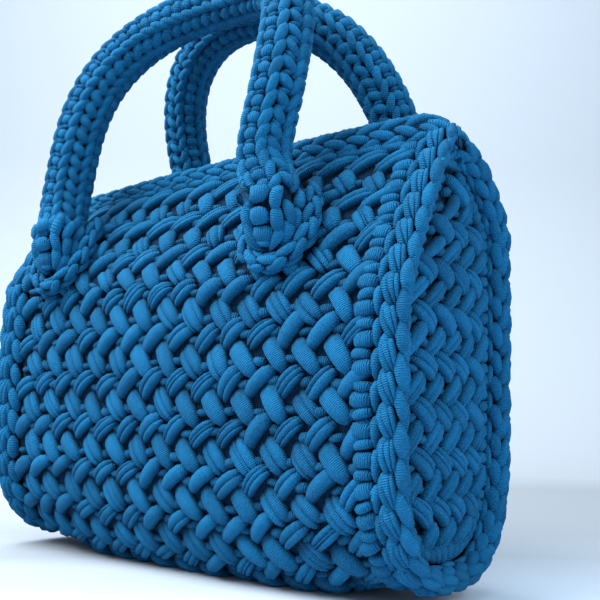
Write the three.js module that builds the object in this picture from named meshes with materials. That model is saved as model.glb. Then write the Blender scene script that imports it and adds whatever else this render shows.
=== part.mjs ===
// A small handbag crocheted from thick jersey yarn. One long strip is the front, the bottom and the back,
// and stands open at the top along a narrow mouth. Two tall end panels close it, set in a little from the
// strip's ends, and a rim of chain stitches borders each end. A chain edge runs along both lips of the mouth.
// Two padded tube handles rise from the front and the back; their ends flatten into rounded tabs, and a chain
// border is sewn round each tab. Millimetres, +Z up, the front faces -Y. The pieces are made about the body's mid
// planes, and then moved so that the origin lies on the floor under the middle of the whole bag's box.
import * as THREE from 'three';
import { mergeVertices } from 'three/addons/utils/BufferGeometryUtils.js';

// Body
const LENGTH = 260; // along X, over both end rims
const DEPTH = 98.5; // front to back where the body is widest
const HEIGHT = 210.5; // floor to the top of the mouth's edge, at the right end
const WALL = 7; // thickness of the crocheted strip
const GAP = 0.3; // clearance between two pieces that are sewn together
const SEAT_GAP = 1.12; // the same under a handle's flat end, whose facets dip
const BORDER_GAP = 0.7; // the same under a tab's border

// The strip's section
const FLAT_MIDDLE = 38; // width of the flat bottom at mid length
const FLAT_END = 16; // the same at the ends, where the bottom is rounder
const CORNER_RISE = 52; // height of the bottom's round corners
const BELLY = 1.5; // how far the upright walls swell
const FRONT_SLANT = 74; // height of the front's slant up to the mouth, at the right end
const FRONT_SLANT_LEFT = 54; // the same at the left end, where the front stands fuller
const BACK_SLANT = 35; // the same at the back, which stands fuller still
const FRONT_FULLNESS = 0.9; // 1 is a straight slant, 0.5 a round one
const BACK_FULLNESS = 0.74;
const LIP_SETBACK = 11.5; // mid plane to a lip's outer face, at the ends
const MOUTH_BOW = 4; // how much further out the lips stand at mid length
const LEFT_SLUMP = 7; // how much lower the lips are at the left end
const END_LIFT = 9; // how far the bottom rises off the floor at the ends
const FLAT_SHARE = 0.45; // share of the half length whose bottom lies flat

// Ends, rims and mouth edges
const RIM_WIDTH = 14;
const RIM_PROUD = 1.5; // how far a rim stands out from the strip
const RIM_FLARE = 2; // how far its free edge turns outwards
const PANEL_THICKNESS = 7;
const PANEL_INSET = 6.5; // end of the bag to an end panel's outer face
const PANEL_BELLY = 2.5;
const EDGE_WIDTH = 8.5;
const EDGE_HEIGHT = 8;
const EDGE_INSET = 1.5; // end of the bag to the end of a mouth edge
const FRONT_EDGE_SEAT = 2; // how far inside the strip's outer face the front edge's middle lies
const BACK_EDGE_SEAT = 3.5; // the same at the back, whose shoulder is nearly level there

// Handles and their tabs
const HANDLE_DIAMETER = 26;
const HANDLE_CLEARANCE = 5; // between the two handles at their tops
const SPRING_DROP = 18; // mouth's edge to the height where a handle's arch springs
const FRONT_RISE = 105; // from there to the top of the centre-line
const BACK_RISE = 110;
const FRONT_LEFT_MARGIN = 42; // end of the bag to the middle of a tab
const FRONT_RIGHT_MARGIN = 71;
const BACK_LEFT_MARGIN = 59;
const BACK_RIGHT_MARGIN = 51;
const TAB_THICKNESS = 10; // the handle's flattened end, at its tip
const TAB_DROP = 71; // lip to the lower edge of a tab's border, along the strip
const FLATTEN = 24; // length over which the handle flattens
const BORDER_DIAMETER = 8;
const BORDER_TOP = 24; // lip to the upper ends of a tab's border

// How each handle's arch goes: spread is the legs' distance where it springs, as a share of the tabs' distance,
// shift and sway its place along X at the foot and the move on its way up, as shares of half that distance, out
// the spring's distance from the mid plane as a share of half the depth, curl the power of its lean inwards,
// and side and top the exponents of the superellipse.
const ARCHES = {
  front: { spread: 0.958, shift: -0.063, sway: 0.231, out: 0.915, curl: 3, side: 0.754, top: 0.575 },
  back: { spread: 1.016, shift: -0.015, sway: -0.235, out: 1.06, curl: 1.1, side: 1.02, top: 0.628 },
};

// How many facets
const CORNER_ROWS = 8;
const WALL_ROWS = 4;
const SLANT_ROWS = 9;
const STRIP_COLUMNS = 15;
const PANEL_COLUMNS = 8;
const RIM_SIDES = 10;
const EDGE_STEPS = 12;
const EDGE_SIDES = 8;
const HANDLE_STEPS = 54;
const HANDLE_SIDES = 12;
const BORDER_STEPS = 22;
const BORDER_SIDES = 8;
const ARCH_POINTS = 9;
const PATH_SAMPLES = 160;
const REACH_STEP = 0.25; // how finely a border's place beside its handle is looked for
const ROUNDNESS = 0.6; // power of a rim's section, 1 is an ellipse
const TIP_SHARE = 0.04; // how blunt a handle's tip is

const HALF_LENGTH = LENGTH / 2;
const HALF_DEPTH = DEPTH / 2;
const STRIP_TOP = HEIGHT - EDGE_HEIGHT - GAP;
const STRIP_HALF = HALF_LENGTH - RIM_WIDTH - GAP;
const HANDLES = {
  front: { side: -1, left: FRONT_LEFT_MARGIN, right: FRONT_RIGHT_MARGIN, rise: FRONT_RISE },
  back: { side: 1, left: BACK_LEFT_MARGIN, right: BACK_RIGHT_MARGIN, rise: BACK_RISE },
};

const YARN = new THREE.Color(0x1f6a9c);
const yarn = (shade) => new THREE.MeshStandardMaterial({
  color: YARN.clone().multiplyScalar(shade),
  roughness: 0.85,
  metalness: 0,
});
const materials = { strip: yarn(1), rim: yarn(0.92), panel: yarn(0.85), handle: yarn(0.97) };

function mix(a, b, share) {
  return a + (b - a) * share;
}

function smooth(share) {
  const t = Math.min(Math.max(share, 0), 1);
  return t * t * (3 - 2 * t);
}

// One closed solid from rings of equal length: each ring is closed in itself, the first and the last are capped.
function loft(rings) {
  const size = rings[0].length;
  const positions = rings.flat().flatMap((p) => [p.x, p.y, p.z]);
  const index = [];
  for (let r = 0; r + 1 < rings.length; r++) {
    for (let i = 0; i < size; i++) {
      const [a, b] = [r * size + i, r * size + ((i + 1) % size)];
      index.push(a, b, b + size, a, b + size, a + size);
    }
  }
  for (const [ring, flip] of [[0, true], [rings.length - 1, false]]) {
    const centre = positions.length / 3;
    const middle = rings[ring].reduce((sum, p) => sum.add(p), new THREE.Vector3()).divideScalar(size);
    positions.push(middle.x, middle.y, middle.z);
    for (let i = 0; i < size; i++) {
      const [a, b] = [ring * size + i, ring * size + ((i + 1) % size)];
      index.push(...(flip ? [b, a, centre] : [a, b, centre]));
    }
  }
  return outward(positions, index);
}

// One closed solid between two grids of the same rows and columns, with a wall round their four edges.
function slab(outer, inner) {
  const [rows, columns] = [outer.length, outer[0].length];
  const positions = [...outer.flat(), ...inner.flat()].flatMap((p) => [p.x, p.y, p.z]);
  const at = (layer, r, c) => (layer * rows + r) * columns + c;
  const index = [];
  const quad = (a, b, c, d) => index.push(a, b, c, a, c, d);
  for (let r = 0; r + 1 < rows; r++) {
    for (let c = 0; c + 1 < columns; c++) {
      quad(at(0, r, c), at(0, r, c + 1), at(0, r + 1, c + 1), at(0, r + 1, c));
      quad(at(1, r, c), at(1, r + 1, c), at(1, r + 1, c + 1), at(1, r, c + 1));
    }
    quad(at(0, r, 0), at(0, r + 1, 0), at(1, r + 1, 0), at(1, r, 0));
    quad(at(0, r, columns - 1), at(1, r, columns - 1), at(1, r + 1, columns - 1), at(0, r + 1, columns - 1));
  }
  for (let c = 0; c + 1 < columns; c++) {
    quad(at(0, 0, c), at(1, 0, c), at(1, 0, c + 1), at(0, 0, c + 1));
    quad(at(0, rows - 1, c), at(0, rows - 1, c + 1), at(1, rows - 1, c + 1), at(1, rows - 1, c));
  }
  return outward(positions, index);
}

// Turns a closed surface so that its faces point out, and merges its shared points.
function outward(positions, index) {
  const point = (i) => new THREE.Vector3().fromArray(positions, 3 * i);
  let volume = 0;
  for (let t = 0; t < index.length; t += 3) {
    volume += point(index[t]).dot(point(index[t + 1]).cross(point(index[t + 2])));
  }
  if (volume < 0) index.reverse();
  const geometry = new THREE.BufferGeometry();
  geometry.setAttribute('position', new THREE.Float32BufferAttribute(positions, 3));
  geometry.setIndex(index);
  return mergeVertices(geometry, 1e-4);
}

// The outer line of the strip's front or back half at one x, from the edge of the flat bottom to the lip, as
// [y, z] pairs: a quarter ellipse, a slightly swollen wall, then a slant to the lip that is a superellipse.
function halfSection(side, x) {
  const q = Math.min(Math.abs(x) / HALF_LENGTH, 1);
  const run = HALF_DEPTH - mix(FLAT_MIDDLE, FLAT_END, q * q) / 2;
  const lift = END_LIFT * smooth((q - FLAT_SHARE) / (1 - FLAT_SHARE));
  const lip = LIP_SETBACK + MOUTH_BOW * (1 - q * q);
  const top = STRIP_TOP - LEFT_SLUMP * (0.5 - x / LENGTH) ** 2;
  const frontSlant = mix(FRONT_SLANT_LEFT, FRONT_SLANT, smooth(x / LENGTH + 0.5));
  const slant = side < 0 ? frontSlant : BACK_SLANT;
  const fullness = side < 0 ? FRONT_FULLNESS : BACK_FULLNESS;
  const line = [];
  for (let i = 0; i <= CORNER_ROWS; i++) {
    const turn = (i / CORNER_ROWS) * (Math.PI / 2);
    line.push([HALF_DEPTH - run + run * Math.sin(turn), CORNER_RISE * (1 - Math.cos(turn))]);
  }
  for (let i = 1; i <= WALL_ROWS; i++) {
    const share = i / WALL_ROWS;
    line.push([HALF_DEPTH + BELLY * Math.sin(Math.PI * share), mix(CORNER_RISE, top - slant, share)]);
  }
  for (let i = 1; i <= SLANT_ROWS; i++) {
    const share = i / SLANT_ROWS;
    line.push([mix(lip, HALF_DEPTH, (1 - share) ** fullness), top + slant * (share ** fullness - 1)]);
  }
  return line.map(([out, up]) => [side * out, up + lift * (1 - up / top) ** 2]);
}

// The whole section at one x, from the front lip down, along the bottom and up to the back lip, moved in or
// out across itself. Each point goes along the mean direction of its two neighbours, turned outwards.
function sectionAt(x, offset) {
  const line = [...halfSection(-1, x).reverse(), ...halfSection(1, x)];
  return line.map(([y, z], i) => {
    const [ya, za] = line[Math.max(i - 1, 0)];
    const [yb, zb] = line[Math.min(i + 1, line.length - 1)];
    const long = Math.hypot(yb - ya, zb - za);
    return new THREE.Vector3(x, y + (offset * (zb - za)) / long, z - (offset * (yb - ya)) / long);
  });
}

// The place on the strip's outer face that lies a distance below the lip, stood off across it.
function seatOnStrip(side, x, drop, offset) {
  const line = halfSection(side, x).reverse();
  let left = drop;
  let i = 0;
  let step = Math.hypot(line[1][0] - line[0][0], line[1][1] - line[0][1]);
  while (left > step && i + 2 < line.length) {
    left -= step;
    i += 1;
    step = Math.hypot(line[i + 1][0] - line[i][0], line[i + 1][1] - line[i][1]);
  }
  const [dy, dz] = [(line[i + 1][0] - line[i][0]) / step, (line[i + 1][1] - line[i][1]) / step];
  const out = new THREE.Vector3(0, -side * dz, side * dy);
  const point = new THREE.Vector3(x, line[i][0] + dy * left, line[i][1] + dz * left);
  return { point: point.addScaledVector(out, offset), out };
}

function makeStrip() {
  const columns = Array.from({ length: STRIP_COLUMNS + 1 }, (_, i) => (
    mix(-STRIP_HALF, STRIP_HALF, i / STRIP_COLUMNS)
  ));
  return slab(columns.map((x) => sectionAt(x, 0)), columns.map((x) => sectionAt(x, -WALL)));
}

// A rim is a flattened bar that follows the strip's section at one end of the bag. Its free edge is thinner
// and turns outwards, so the rim ends in a crest.
function makeRim(end) {
  const [halfWidth, halfThick] = [RIM_WIDTH / 2, (WALL + RIM_PROUD) / 2];
  const lines = Array.from({ length: RIM_SIDES }, (_, i) => {
    const turn = (i / RIM_SIDES) * Math.PI * 2;
    const [c, s] = [Math.cos(turn), Math.sin(turn)];
    const free = Math.max(end * c, 0);
    const x = end * (HALF_LENGTH - halfWidth) + halfWidth * Math.sign(c) * Math.abs(c) ** ROUNDNESS;
    const rise = halfThick * Math.sign(s) * Math.abs(s) ** ROUNDNESS;
    return sectionAt(x, RIM_PROUD - halfThick + rise * (1 - free / 2) + RIM_FLARE * free);
  });
  return loft(lines[0].map((_, i) => lines.map((line) => line[i])));
}

// An end panel fills the rim's inner outline, row by row from the bottom to the narrow peak.
function makePanel(end) {
  const face = end * (HALF_LENGTH - PANEL_INSET);
  const outline = sectionAt(face, -WALL - GAP);
  const half = outline.length / 2;
  const grid = (depth) => Array.from({ length: half }, (_, r) => {
    const [front, back] = [outline[half - 1 - r], outline[half + r]];
    return Array.from({ length: PANEL_COLUMNS + 1 }, (__, c) => {
      const share = c / PANEL_COLUMNS;
      const swell = PANEL_BELLY * Math.sin(Math.PI * share) * Math.sin((Math.PI * r) / (half - 1));
      return front.clone().lerp(back, share).setX(face + end * (swell - depth));
    });
  });
  return slab(grid(0), grid(PANEL_THICKNESS));
}

// A mouth edge is an oval bar that lies on one lip and follows its bow and its drop.
function makeMouthEdge(side) {
  const seat = side < 0 ? FRONT_EDGE_SEAT : BACK_EDGE_SEAT;
  const rings = Array.from({ length: EDGE_STEPS + 1 }, (_, i) => {
    const x = mix(-1, 1, i / EDGE_STEPS) * (HALF_LENGTH - EDGE_INSET);
    const [y, z] = halfSection(side, x).at(-1);
    return Array.from({ length: EDGE_SIDES }, (__, k) => {
      const turn = ((k + 0.5) / EDGE_SIDES) * Math.PI * 2;
      const reach = Math.cos(Math.PI / EDGE_SIDES);
      return new THREE.Vector3(
        x,
        y - side * seat + ((EDGE_WIDTH / 2) * Math.cos(turn)) / reach,
        z + GAP + EDGE_HEIGHT / 2 + ((EDGE_HEIGHT / 2) * Math.sin(turn)) / reach,
      );
    });
  });
  return loft(rings);
}

const HANDLE_RADIUS = HANDLE_DIAMETER / 2;
const BORDER_REACH = HANDLE_RADIUS + BORDER_GAP + BORDER_DIAMETER / 2; // from the handle's middle to the border's
const TAB_CENTRE = TAB_DROP - BORDER_DIAMETER / 2 - BORDER_REACH; // drop of the round end's centre

function tabX(name, leg) {
  return leg * (HALF_LENGTH - (leg < 0 ? HANDLES[name].left : HANDLES[name].right));
}

// Points of one leg's centre-line, from the tip of the tab up to the top of the arch.
function legPoints(name, leg) {
  const { side, rise } = HANDLES[name];
  const arch = ARCHES[name];
  const halfTabs = (tabX(name, 1) - tabX(name, -1)) / 2;
  const middle = (tabX(name, 1) + tabX(name, -1)) / 2 + arch.shift * halfTabs;
  const points = [0, 0.2, 0.4, 0.6, 0.8, 1].map((share) => {
    const thick = mix(TAB_THICKNESS, HANDLE_DIAMETER, smooth(share));
    const drop = TAB_CENTRE + HANDLE_RADIUS - FLATTEN * share;
    return seatOnStrip(side, tabX(name, leg), drop, thick / 2 + SEAT_GAP).point;
  });
  for (let i = 0; i <= ARCH_POINTS; i++) {
    const turn = (i / ARCH_POINTS) * (Math.PI / 2);
    const up = Math.sin(turn) ** arch.top;
    const reach = i === ARCH_POINTS ? 0 : Math.cos(turn) ** arch.side;
    points.push(new THREE.Vector3(
      middle + halfTabs * (leg * arch.spread * reach + arch.sway * up),
      side * mix(arch.out * HALF_DEPTH, HANDLE_RADIUS + HANDLE_CLEARANCE / 2, up ** arch.curl),
      HEIGHT - SPRING_DROP + rise * up,
    ));
  }
  return points;
}

function handlePath(name) {
  const [right, left] = [legPoints(name, 1), legPoints(name, -1)];
  return new THREE.CatmullRomCurve3([...right, ...left.slice(0, -1).reverse()], false, 'centripetal');
}

// A handle is a round tube whose two ends flatten against the strip and close in a round tip.
function makeHandle(name) {
  const { side } = HANDLES[name];
  const path = handlePath(name);
  const total = path.getLength();
  const flat = seatOnStrip(side, tabX(name, 1), TAB_CENTRE, 0).out;
  const rings = Array.from({ length: HANDLE_STEPS + 1 }, (_, i) => {
    const share = i / HANDLE_STEPS;
    const nearest = Math.min(share, 1 - share) * total;
    const along = path.getTangentAt(share);
    const facing = flat.clone().lerp(new THREE.Vector3(0, side, 0), smooth(nearest / FLATTEN / 2 - 0.5));
    const across = new THREE.Vector3().crossVectors(along, facing).normalize();
    const out = new THREE.Vector3().crossVectors(across, along).normalize();
    const short = Math.max(1 - nearest / HANDLE_RADIUS, 0);
    const width = HANDLE_RADIUS * Math.sqrt(Math.max(1 - short ** 2, TIP_SHARE));
    const thick = (mix(TAB_THICKNESS, HANDLE_DIAMETER, smooth(nearest / FLATTEN)) / 2)
      * Math.sqrt(Math.max(1 - short ** 4, 2 * TIP_SHARE));
    return ringAt(path.getPointAt(share), across, width, out, thick, HANDLE_SIDES);
  });
  return loft(rings);
}

// An oval ring of points round a place, with two half widths along two directions.
function ringAt(place, across, width, out, thick, sides) {
  return Array.from({ length: sides }, (_, k) => {
    const turn = (k / sides) * Math.PI * 2;
    const [reach, rise] = [width * Math.cos(turn), thick * Math.sin(turn)];
    return place.clone().addScaledVector(across, reach).addScaledVector(out, rise);
  });
}

// A tab's border is a cord in the shape of a U that lies on the strip, close round the handle's flat end. Where
// the handle rises off the strip, the two legs of the U close in under it, so that they touch both.
function makeBorder(name, leg) {
  const { side } = HANDLES[name];
  const x = tabX(name, leg);
  const rest = BORDER_DIAMETER / 2 + BORDER_GAP;
  const route = handlePath(name).getSpacedPoints(PATH_SAMPLES);
  const placeAt = (drop, sign) => {
    let reach = rest;
    let place = seatOnStrip(side, x + sign * reach, drop, rest);
    while (reach < BORDER_REACH && route.some((p) => p.distanceTo(place.point) < BORDER_REACH)) {
      reach += REACH_STEP;
      place = seatOnStrip(side, x + sign * reach, drop, rest);
    }
    return place;
  };
  const straight = TAB_CENTRE - BORDER_TOP;
  const total = 2 * straight + Math.PI * BORDER_REACH;
  const centre = Array.from({ length: BORDER_STEPS + 1 }, (_, i) => {
    const along = (i / BORDER_STEPS) * total;
    const turn = Math.min(Math.max((along - straight) / BORDER_REACH, 0), Math.PI);
    const climb = Math.max(straight - along, along - straight - Math.PI * BORDER_REACH, 0);
    const drop = TAB_CENTRE + BORDER_REACH * Math.sin(turn) - climb;
    if (climb > 0) return placeAt(drop, -Math.sign(Math.cos(turn)));
    return seatOnStrip(side, x - BORDER_REACH * Math.cos(turn), drop, rest);
  });
  const rings = centre.map(({ point, out }, i) => {
    const [before, after] = [centre[Math.max(i - 1, 0)], centre[Math.min(i + 1, BORDER_STEPS)]];
    const along = after.point.clone().sub(before.point);
    const across = new THREE.Vector3().crossVectors(along, out).normalize();
    const up = new THREE.Vector3().crossVectors(across, along).normalize();
    return ringAt(point, across, BORDER_DIAMETER / 2, up, BORDER_DIAMETER / 2, BORDER_SIDES);
  });
  return loft(rings);
}

function named(name, geometry, material) {
  const mesh = new THREE.Mesh(geometry, material);
  mesh.name = name;
  return mesh;
}

const bag = new THREE.Group();
bag.add(named('body_wrap', makeStrip(), materials.strip));
for (const [word, end] of [['left', -1], ['right', 1]]) {
  bag.add(named(`end_rim_${word}`, makeRim(end), materials.rim));
  bag.add(named(`end_panel_${word}`, makePanel(end), materials.panel));
}
for (const name of ['front', 'back']) {
  bag.add(named(`mouth_edge_${name}`, makeMouthEdge(HANDLES[name].side), materials.rim));
  bag.add(named(`handle_${name}`, makeHandle(name), materials.handle));
  for (const [word, leg] of [['left', -1], ['right', 1]]) {
    bag.add(named(`tab_border_${name}_${word}`, makeBorder(name, leg), materials.rim));
  }
}

const box = new THREE.Box3().setFromObject(bag);
bag.position.set(-(box.min.x + box.max.x) / 2, -(box.min.y + box.max.y) / 2, -box.min.z);

export default bag;
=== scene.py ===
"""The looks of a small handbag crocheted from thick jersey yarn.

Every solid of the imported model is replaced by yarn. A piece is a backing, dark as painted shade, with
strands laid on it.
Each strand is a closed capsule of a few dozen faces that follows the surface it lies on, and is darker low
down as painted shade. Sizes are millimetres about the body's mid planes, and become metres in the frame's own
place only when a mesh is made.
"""
import logging
from dataclasses import dataclass, field
from enum import Enum

import bpy
import numpy as np
from mathutils import Matrix, Vector


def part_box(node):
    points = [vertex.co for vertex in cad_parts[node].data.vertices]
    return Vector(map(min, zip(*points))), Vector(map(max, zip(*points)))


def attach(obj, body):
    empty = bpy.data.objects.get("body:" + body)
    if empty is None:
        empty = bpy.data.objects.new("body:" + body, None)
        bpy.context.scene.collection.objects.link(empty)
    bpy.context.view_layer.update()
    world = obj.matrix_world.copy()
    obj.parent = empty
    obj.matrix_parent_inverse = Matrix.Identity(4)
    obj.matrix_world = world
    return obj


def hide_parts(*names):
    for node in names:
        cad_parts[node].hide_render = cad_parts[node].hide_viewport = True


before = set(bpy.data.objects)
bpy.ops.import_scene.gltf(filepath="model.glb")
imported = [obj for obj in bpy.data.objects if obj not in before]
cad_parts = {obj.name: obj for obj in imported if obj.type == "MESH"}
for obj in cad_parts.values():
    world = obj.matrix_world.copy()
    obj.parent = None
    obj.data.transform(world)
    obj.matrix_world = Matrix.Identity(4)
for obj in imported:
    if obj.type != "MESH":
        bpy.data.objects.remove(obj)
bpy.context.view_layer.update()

MM = 0.001
FLOOR_LIFT = 0.05  # millimetres that the lowest point keeps from the floor
TINY = 1e-9
LOG = logging.getLogger("bag")
Numbers = np.ndarray | float
Random = np.random.Generator
Socket = bpy.types.NodeSocket


class Side(Enum):
    """Which long side of the bag a piece belongs to."""

    FRONT = -1
    BACK = 1


class End(Enum):
    """Which end of the bag a piece belongs to, or which of a handle's two legs."""

    LEFT = -1
    RIGHT = 1


def mid_plane() -> float:
    """The y of the body's mid plane in the frame, in metres: the middle of an end rim's box."""
    low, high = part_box("end_rim_right")
    return (low.y + high.y) / 2


def smooth(share: Numbers) -> np.ndarray:
    """The step that eases in and out: three squares less two cubes, held between 0 and 1."""
    t = np.clip(share, 0.0, 1.0)
    return t * t * (3.0 - 2.0 * t)


def mix(a: Numbers, b: Numbers, share: Numbers) -> Numbers:
    """The value that lies a share of the way from a to b."""
    return a + (b - a) * share


def unit(v: np.ndarray) -> np.ndarray:
    """Vectors along the last axis, scaled to length one."""
    return v / np.maximum(np.linalg.norm(v, axis=-1, keepdims=True), TINY)


def bent(value: np.ndarray, power: float) -> np.ndarray:
    """A power of the size of each value, with the value's own sign."""
    return np.sign(value) * np.abs(value) ** power


def arc_length(points: np.ndarray) -> np.ndarray:
    """The distance run along a line of points up to each of them."""
    return np.concatenate([[0], np.cumsum(np.linalg.norm(np.diff(points, axis=0), axis=-1))])


@dataclass
class Sheet:
    """A curved surface given by a grid of points, on which strands are laid.

    The first index runs along s and the second along t. The outside is where s cross t points. A closed sheet
    joins up along s. What is laid on a sheet is held within its limits of s, and on a closed one also within
    its two ends.
    """

    points: np.ndarray
    closed: bool = False
    limits: tuple[float, float] = (-9.0, 9.0)
    along_s: np.ndarray = field(init=False)
    along_t: np.ndarray = field(init=False)
    normal: np.ndarray = field(init=False)

    def __post_init__(self) -> None:
        """Works out the two tangents per unit of s and t, and the normal."""
        p = self.points
        rows, columns = p.shape[:2]
        if self.closed:
            self.along_s = (np.roll(p, -1, 0) - np.roll(p, 1, 0)) * rows / 2
        else:
            self.along_s = np.gradient(p, axis=0) * (rows - 1)
        self.along_t = np.gradient(p, axis=1) * (columns - 1)
        self.normal = unit(np.cross(self.along_s, self.along_t))

    def blend(self, grid: np.ndarray, s: np.ndarray, t: np.ndarray) -> np.ndarray:
        """Reads a grid at any place by mixing its four nearest points, and runs on straight past its edges.

        Args:
            grid: values on the sheet's own grid.
            s: place along the first index, 0 to 1.
            t: place along the second index, 0 to 1.

        Returns:
            The values there, with the grid's last axis kept.
        """
        rows, columns = grid.shape[:2]
        if self.closed:
            a = np.mod(s, 1.0) * rows
            i = np.floor(a).astype(int) % rows
            k = (i + 1) % rows
            fa = (a - np.floor(a))[..., None]
        else:
            a = s * (rows - 1)
            i = np.clip(np.floor(a).astype(int), 0, rows - 2)
            k = i + 1
            fa = (a - i)[..., None]
        b = t * (columns - 1)
        j = np.clip(np.floor(b).astype(int), 0, columns - 2)
        fb = (b - j)[..., None]
        low = grid[i, j] * (1 - fb) + grid[i, j + 1] * fb
        high = grid[k, j] * (1 - fb) + grid[k, j + 1] * fb
        return low * (1 - fa) + high * fa

    def place(self, s0: np.ndarray, t0: np.ndarray, a: np.ndarray, b: np.ndarray,
              h: np.ndarray) -> np.ndarray:
        """Bends flat patches on to the surface, at millimetres from their centres.

        Args:
            s0: centre of each patch along s.
            t0: centre of each patch along t.
            a: millimetres from the centre along s, one row for each patch.
            b: millimetres from the centre along t.
            h: millimetres above the surface.

        Returns:
            The points in space.
        """
        scale_s = np.linalg.norm(self.blend(self.along_s, s0, t0), axis=-1)[:, None]
        scale_t = np.linalg.norm(self.blend(self.along_t, s0, t0), axis=-1)[:, None]
        s = np.clip(s0[:, None] + a / np.maximum(scale_s, TINY), *self.limits)
        t = t0[:, None] + b / np.maximum(scale_t, TINY)
        if self.closed:
            t = np.clip(t, 0.0, 1.0)
        return self.blend(self.points, s, t) + unit(self.blend(self.normal, s, t)) * h[..., None]

    def length(self) -> float:
        """The mean length of the sheet along t."""
        return float(np.mean(np.linalg.norm(self.along_t, axis=-1)))


@dataclass
class Strands:
    """Many strands of one kind.

    Each field is an array with a value for each strand, or one value for all. Lengths are millimetres, and
    angles are radians from s towards t.
    """

    s: np.ndarray
    t: np.ndarray
    angle: Numbers
    length: Numbers
    width: Numbers
    thick: Numbers
    height: Numbers
    lift: Numbers = 1.0
    tilt: Numbers = 0.0
    bow: Numbers = 0.0
    side: Numbers = 0.0
    taper: Numbers = 0.0
    blunt: float = 5.0
    rings: int = 7
    sides: int = 7
    last_ring: float = 0.96
    tip: float = 0.02
    width_power: float = 0.8
    height_power: float = 0.9
    gathered: float = 0.25

    def coordinates(self) -> tuple[np.ndarray, ...]:
        """Works out the strands' grids on the flat sheet.

        Along a strand, tau goes from -1 to 1 and bunches up towards its ends. The section is a flattened
        round whose size falls off at the ends as the square root of one less tau to the power of blunt. The
        centre-line rises by lift and bends sideways by bow at its middle, tilt raises its far end, and side
        moves it across, a bit less at the ends, where the strands of a lobe are gathered.

        Returns:
            The coordinates along s, along t and above the sheet, then the strand's own length and girth.
        """
        tau = np.sin(np.linspace(-0.5, 0.5, self.rings) * np.pi * self.last_ring)[None, :, None]
        phi = (np.arange(self.sides) + 0.5)[None, None, :] / self.sides * 2 * np.pi
        size = np.sqrt(np.clip(1 - np.abs(tau) ** self.blunt, 0.0, 1.0)) + self.tip
        arch = 1 - tau**2
        wide, high = bent(np.cos(phi), self.width_power), bent(np.sin(phi), self.height_power)

        def col(value: Numbers) -> np.ndarray:
            """One value for each strand, ready to meet its rings and sides."""
            return np.broadcast_to(value, self.s.shape)[:, None, None]

        along = col(self.length) / 2 * tau
        across = col(self.width) / 2 * size * (1 + col(self.taper) * tau) * wide
        across = across + col(self.side) * (1 - self.gathered + self.gathered * arch) + col(self.bow) * arch
        up = col(self.height) + col(self.lift) * arch + col(self.tilt) * tau
        up = up + col(self.thick) / 2 * size * high
        along = np.broadcast_to(along, up.shape)
        c, s = np.cos(col(self.angle)), np.sin(col(self.angle))
        a = along * c - across * s
        b = along * s + across * c
        girth = np.broadcast_to(phi / np.pi, up.shape) * col(self.width)
        return tuple(grid.reshape(len(self.s), -1) for grid in (a, b, up, along, girth))


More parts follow.
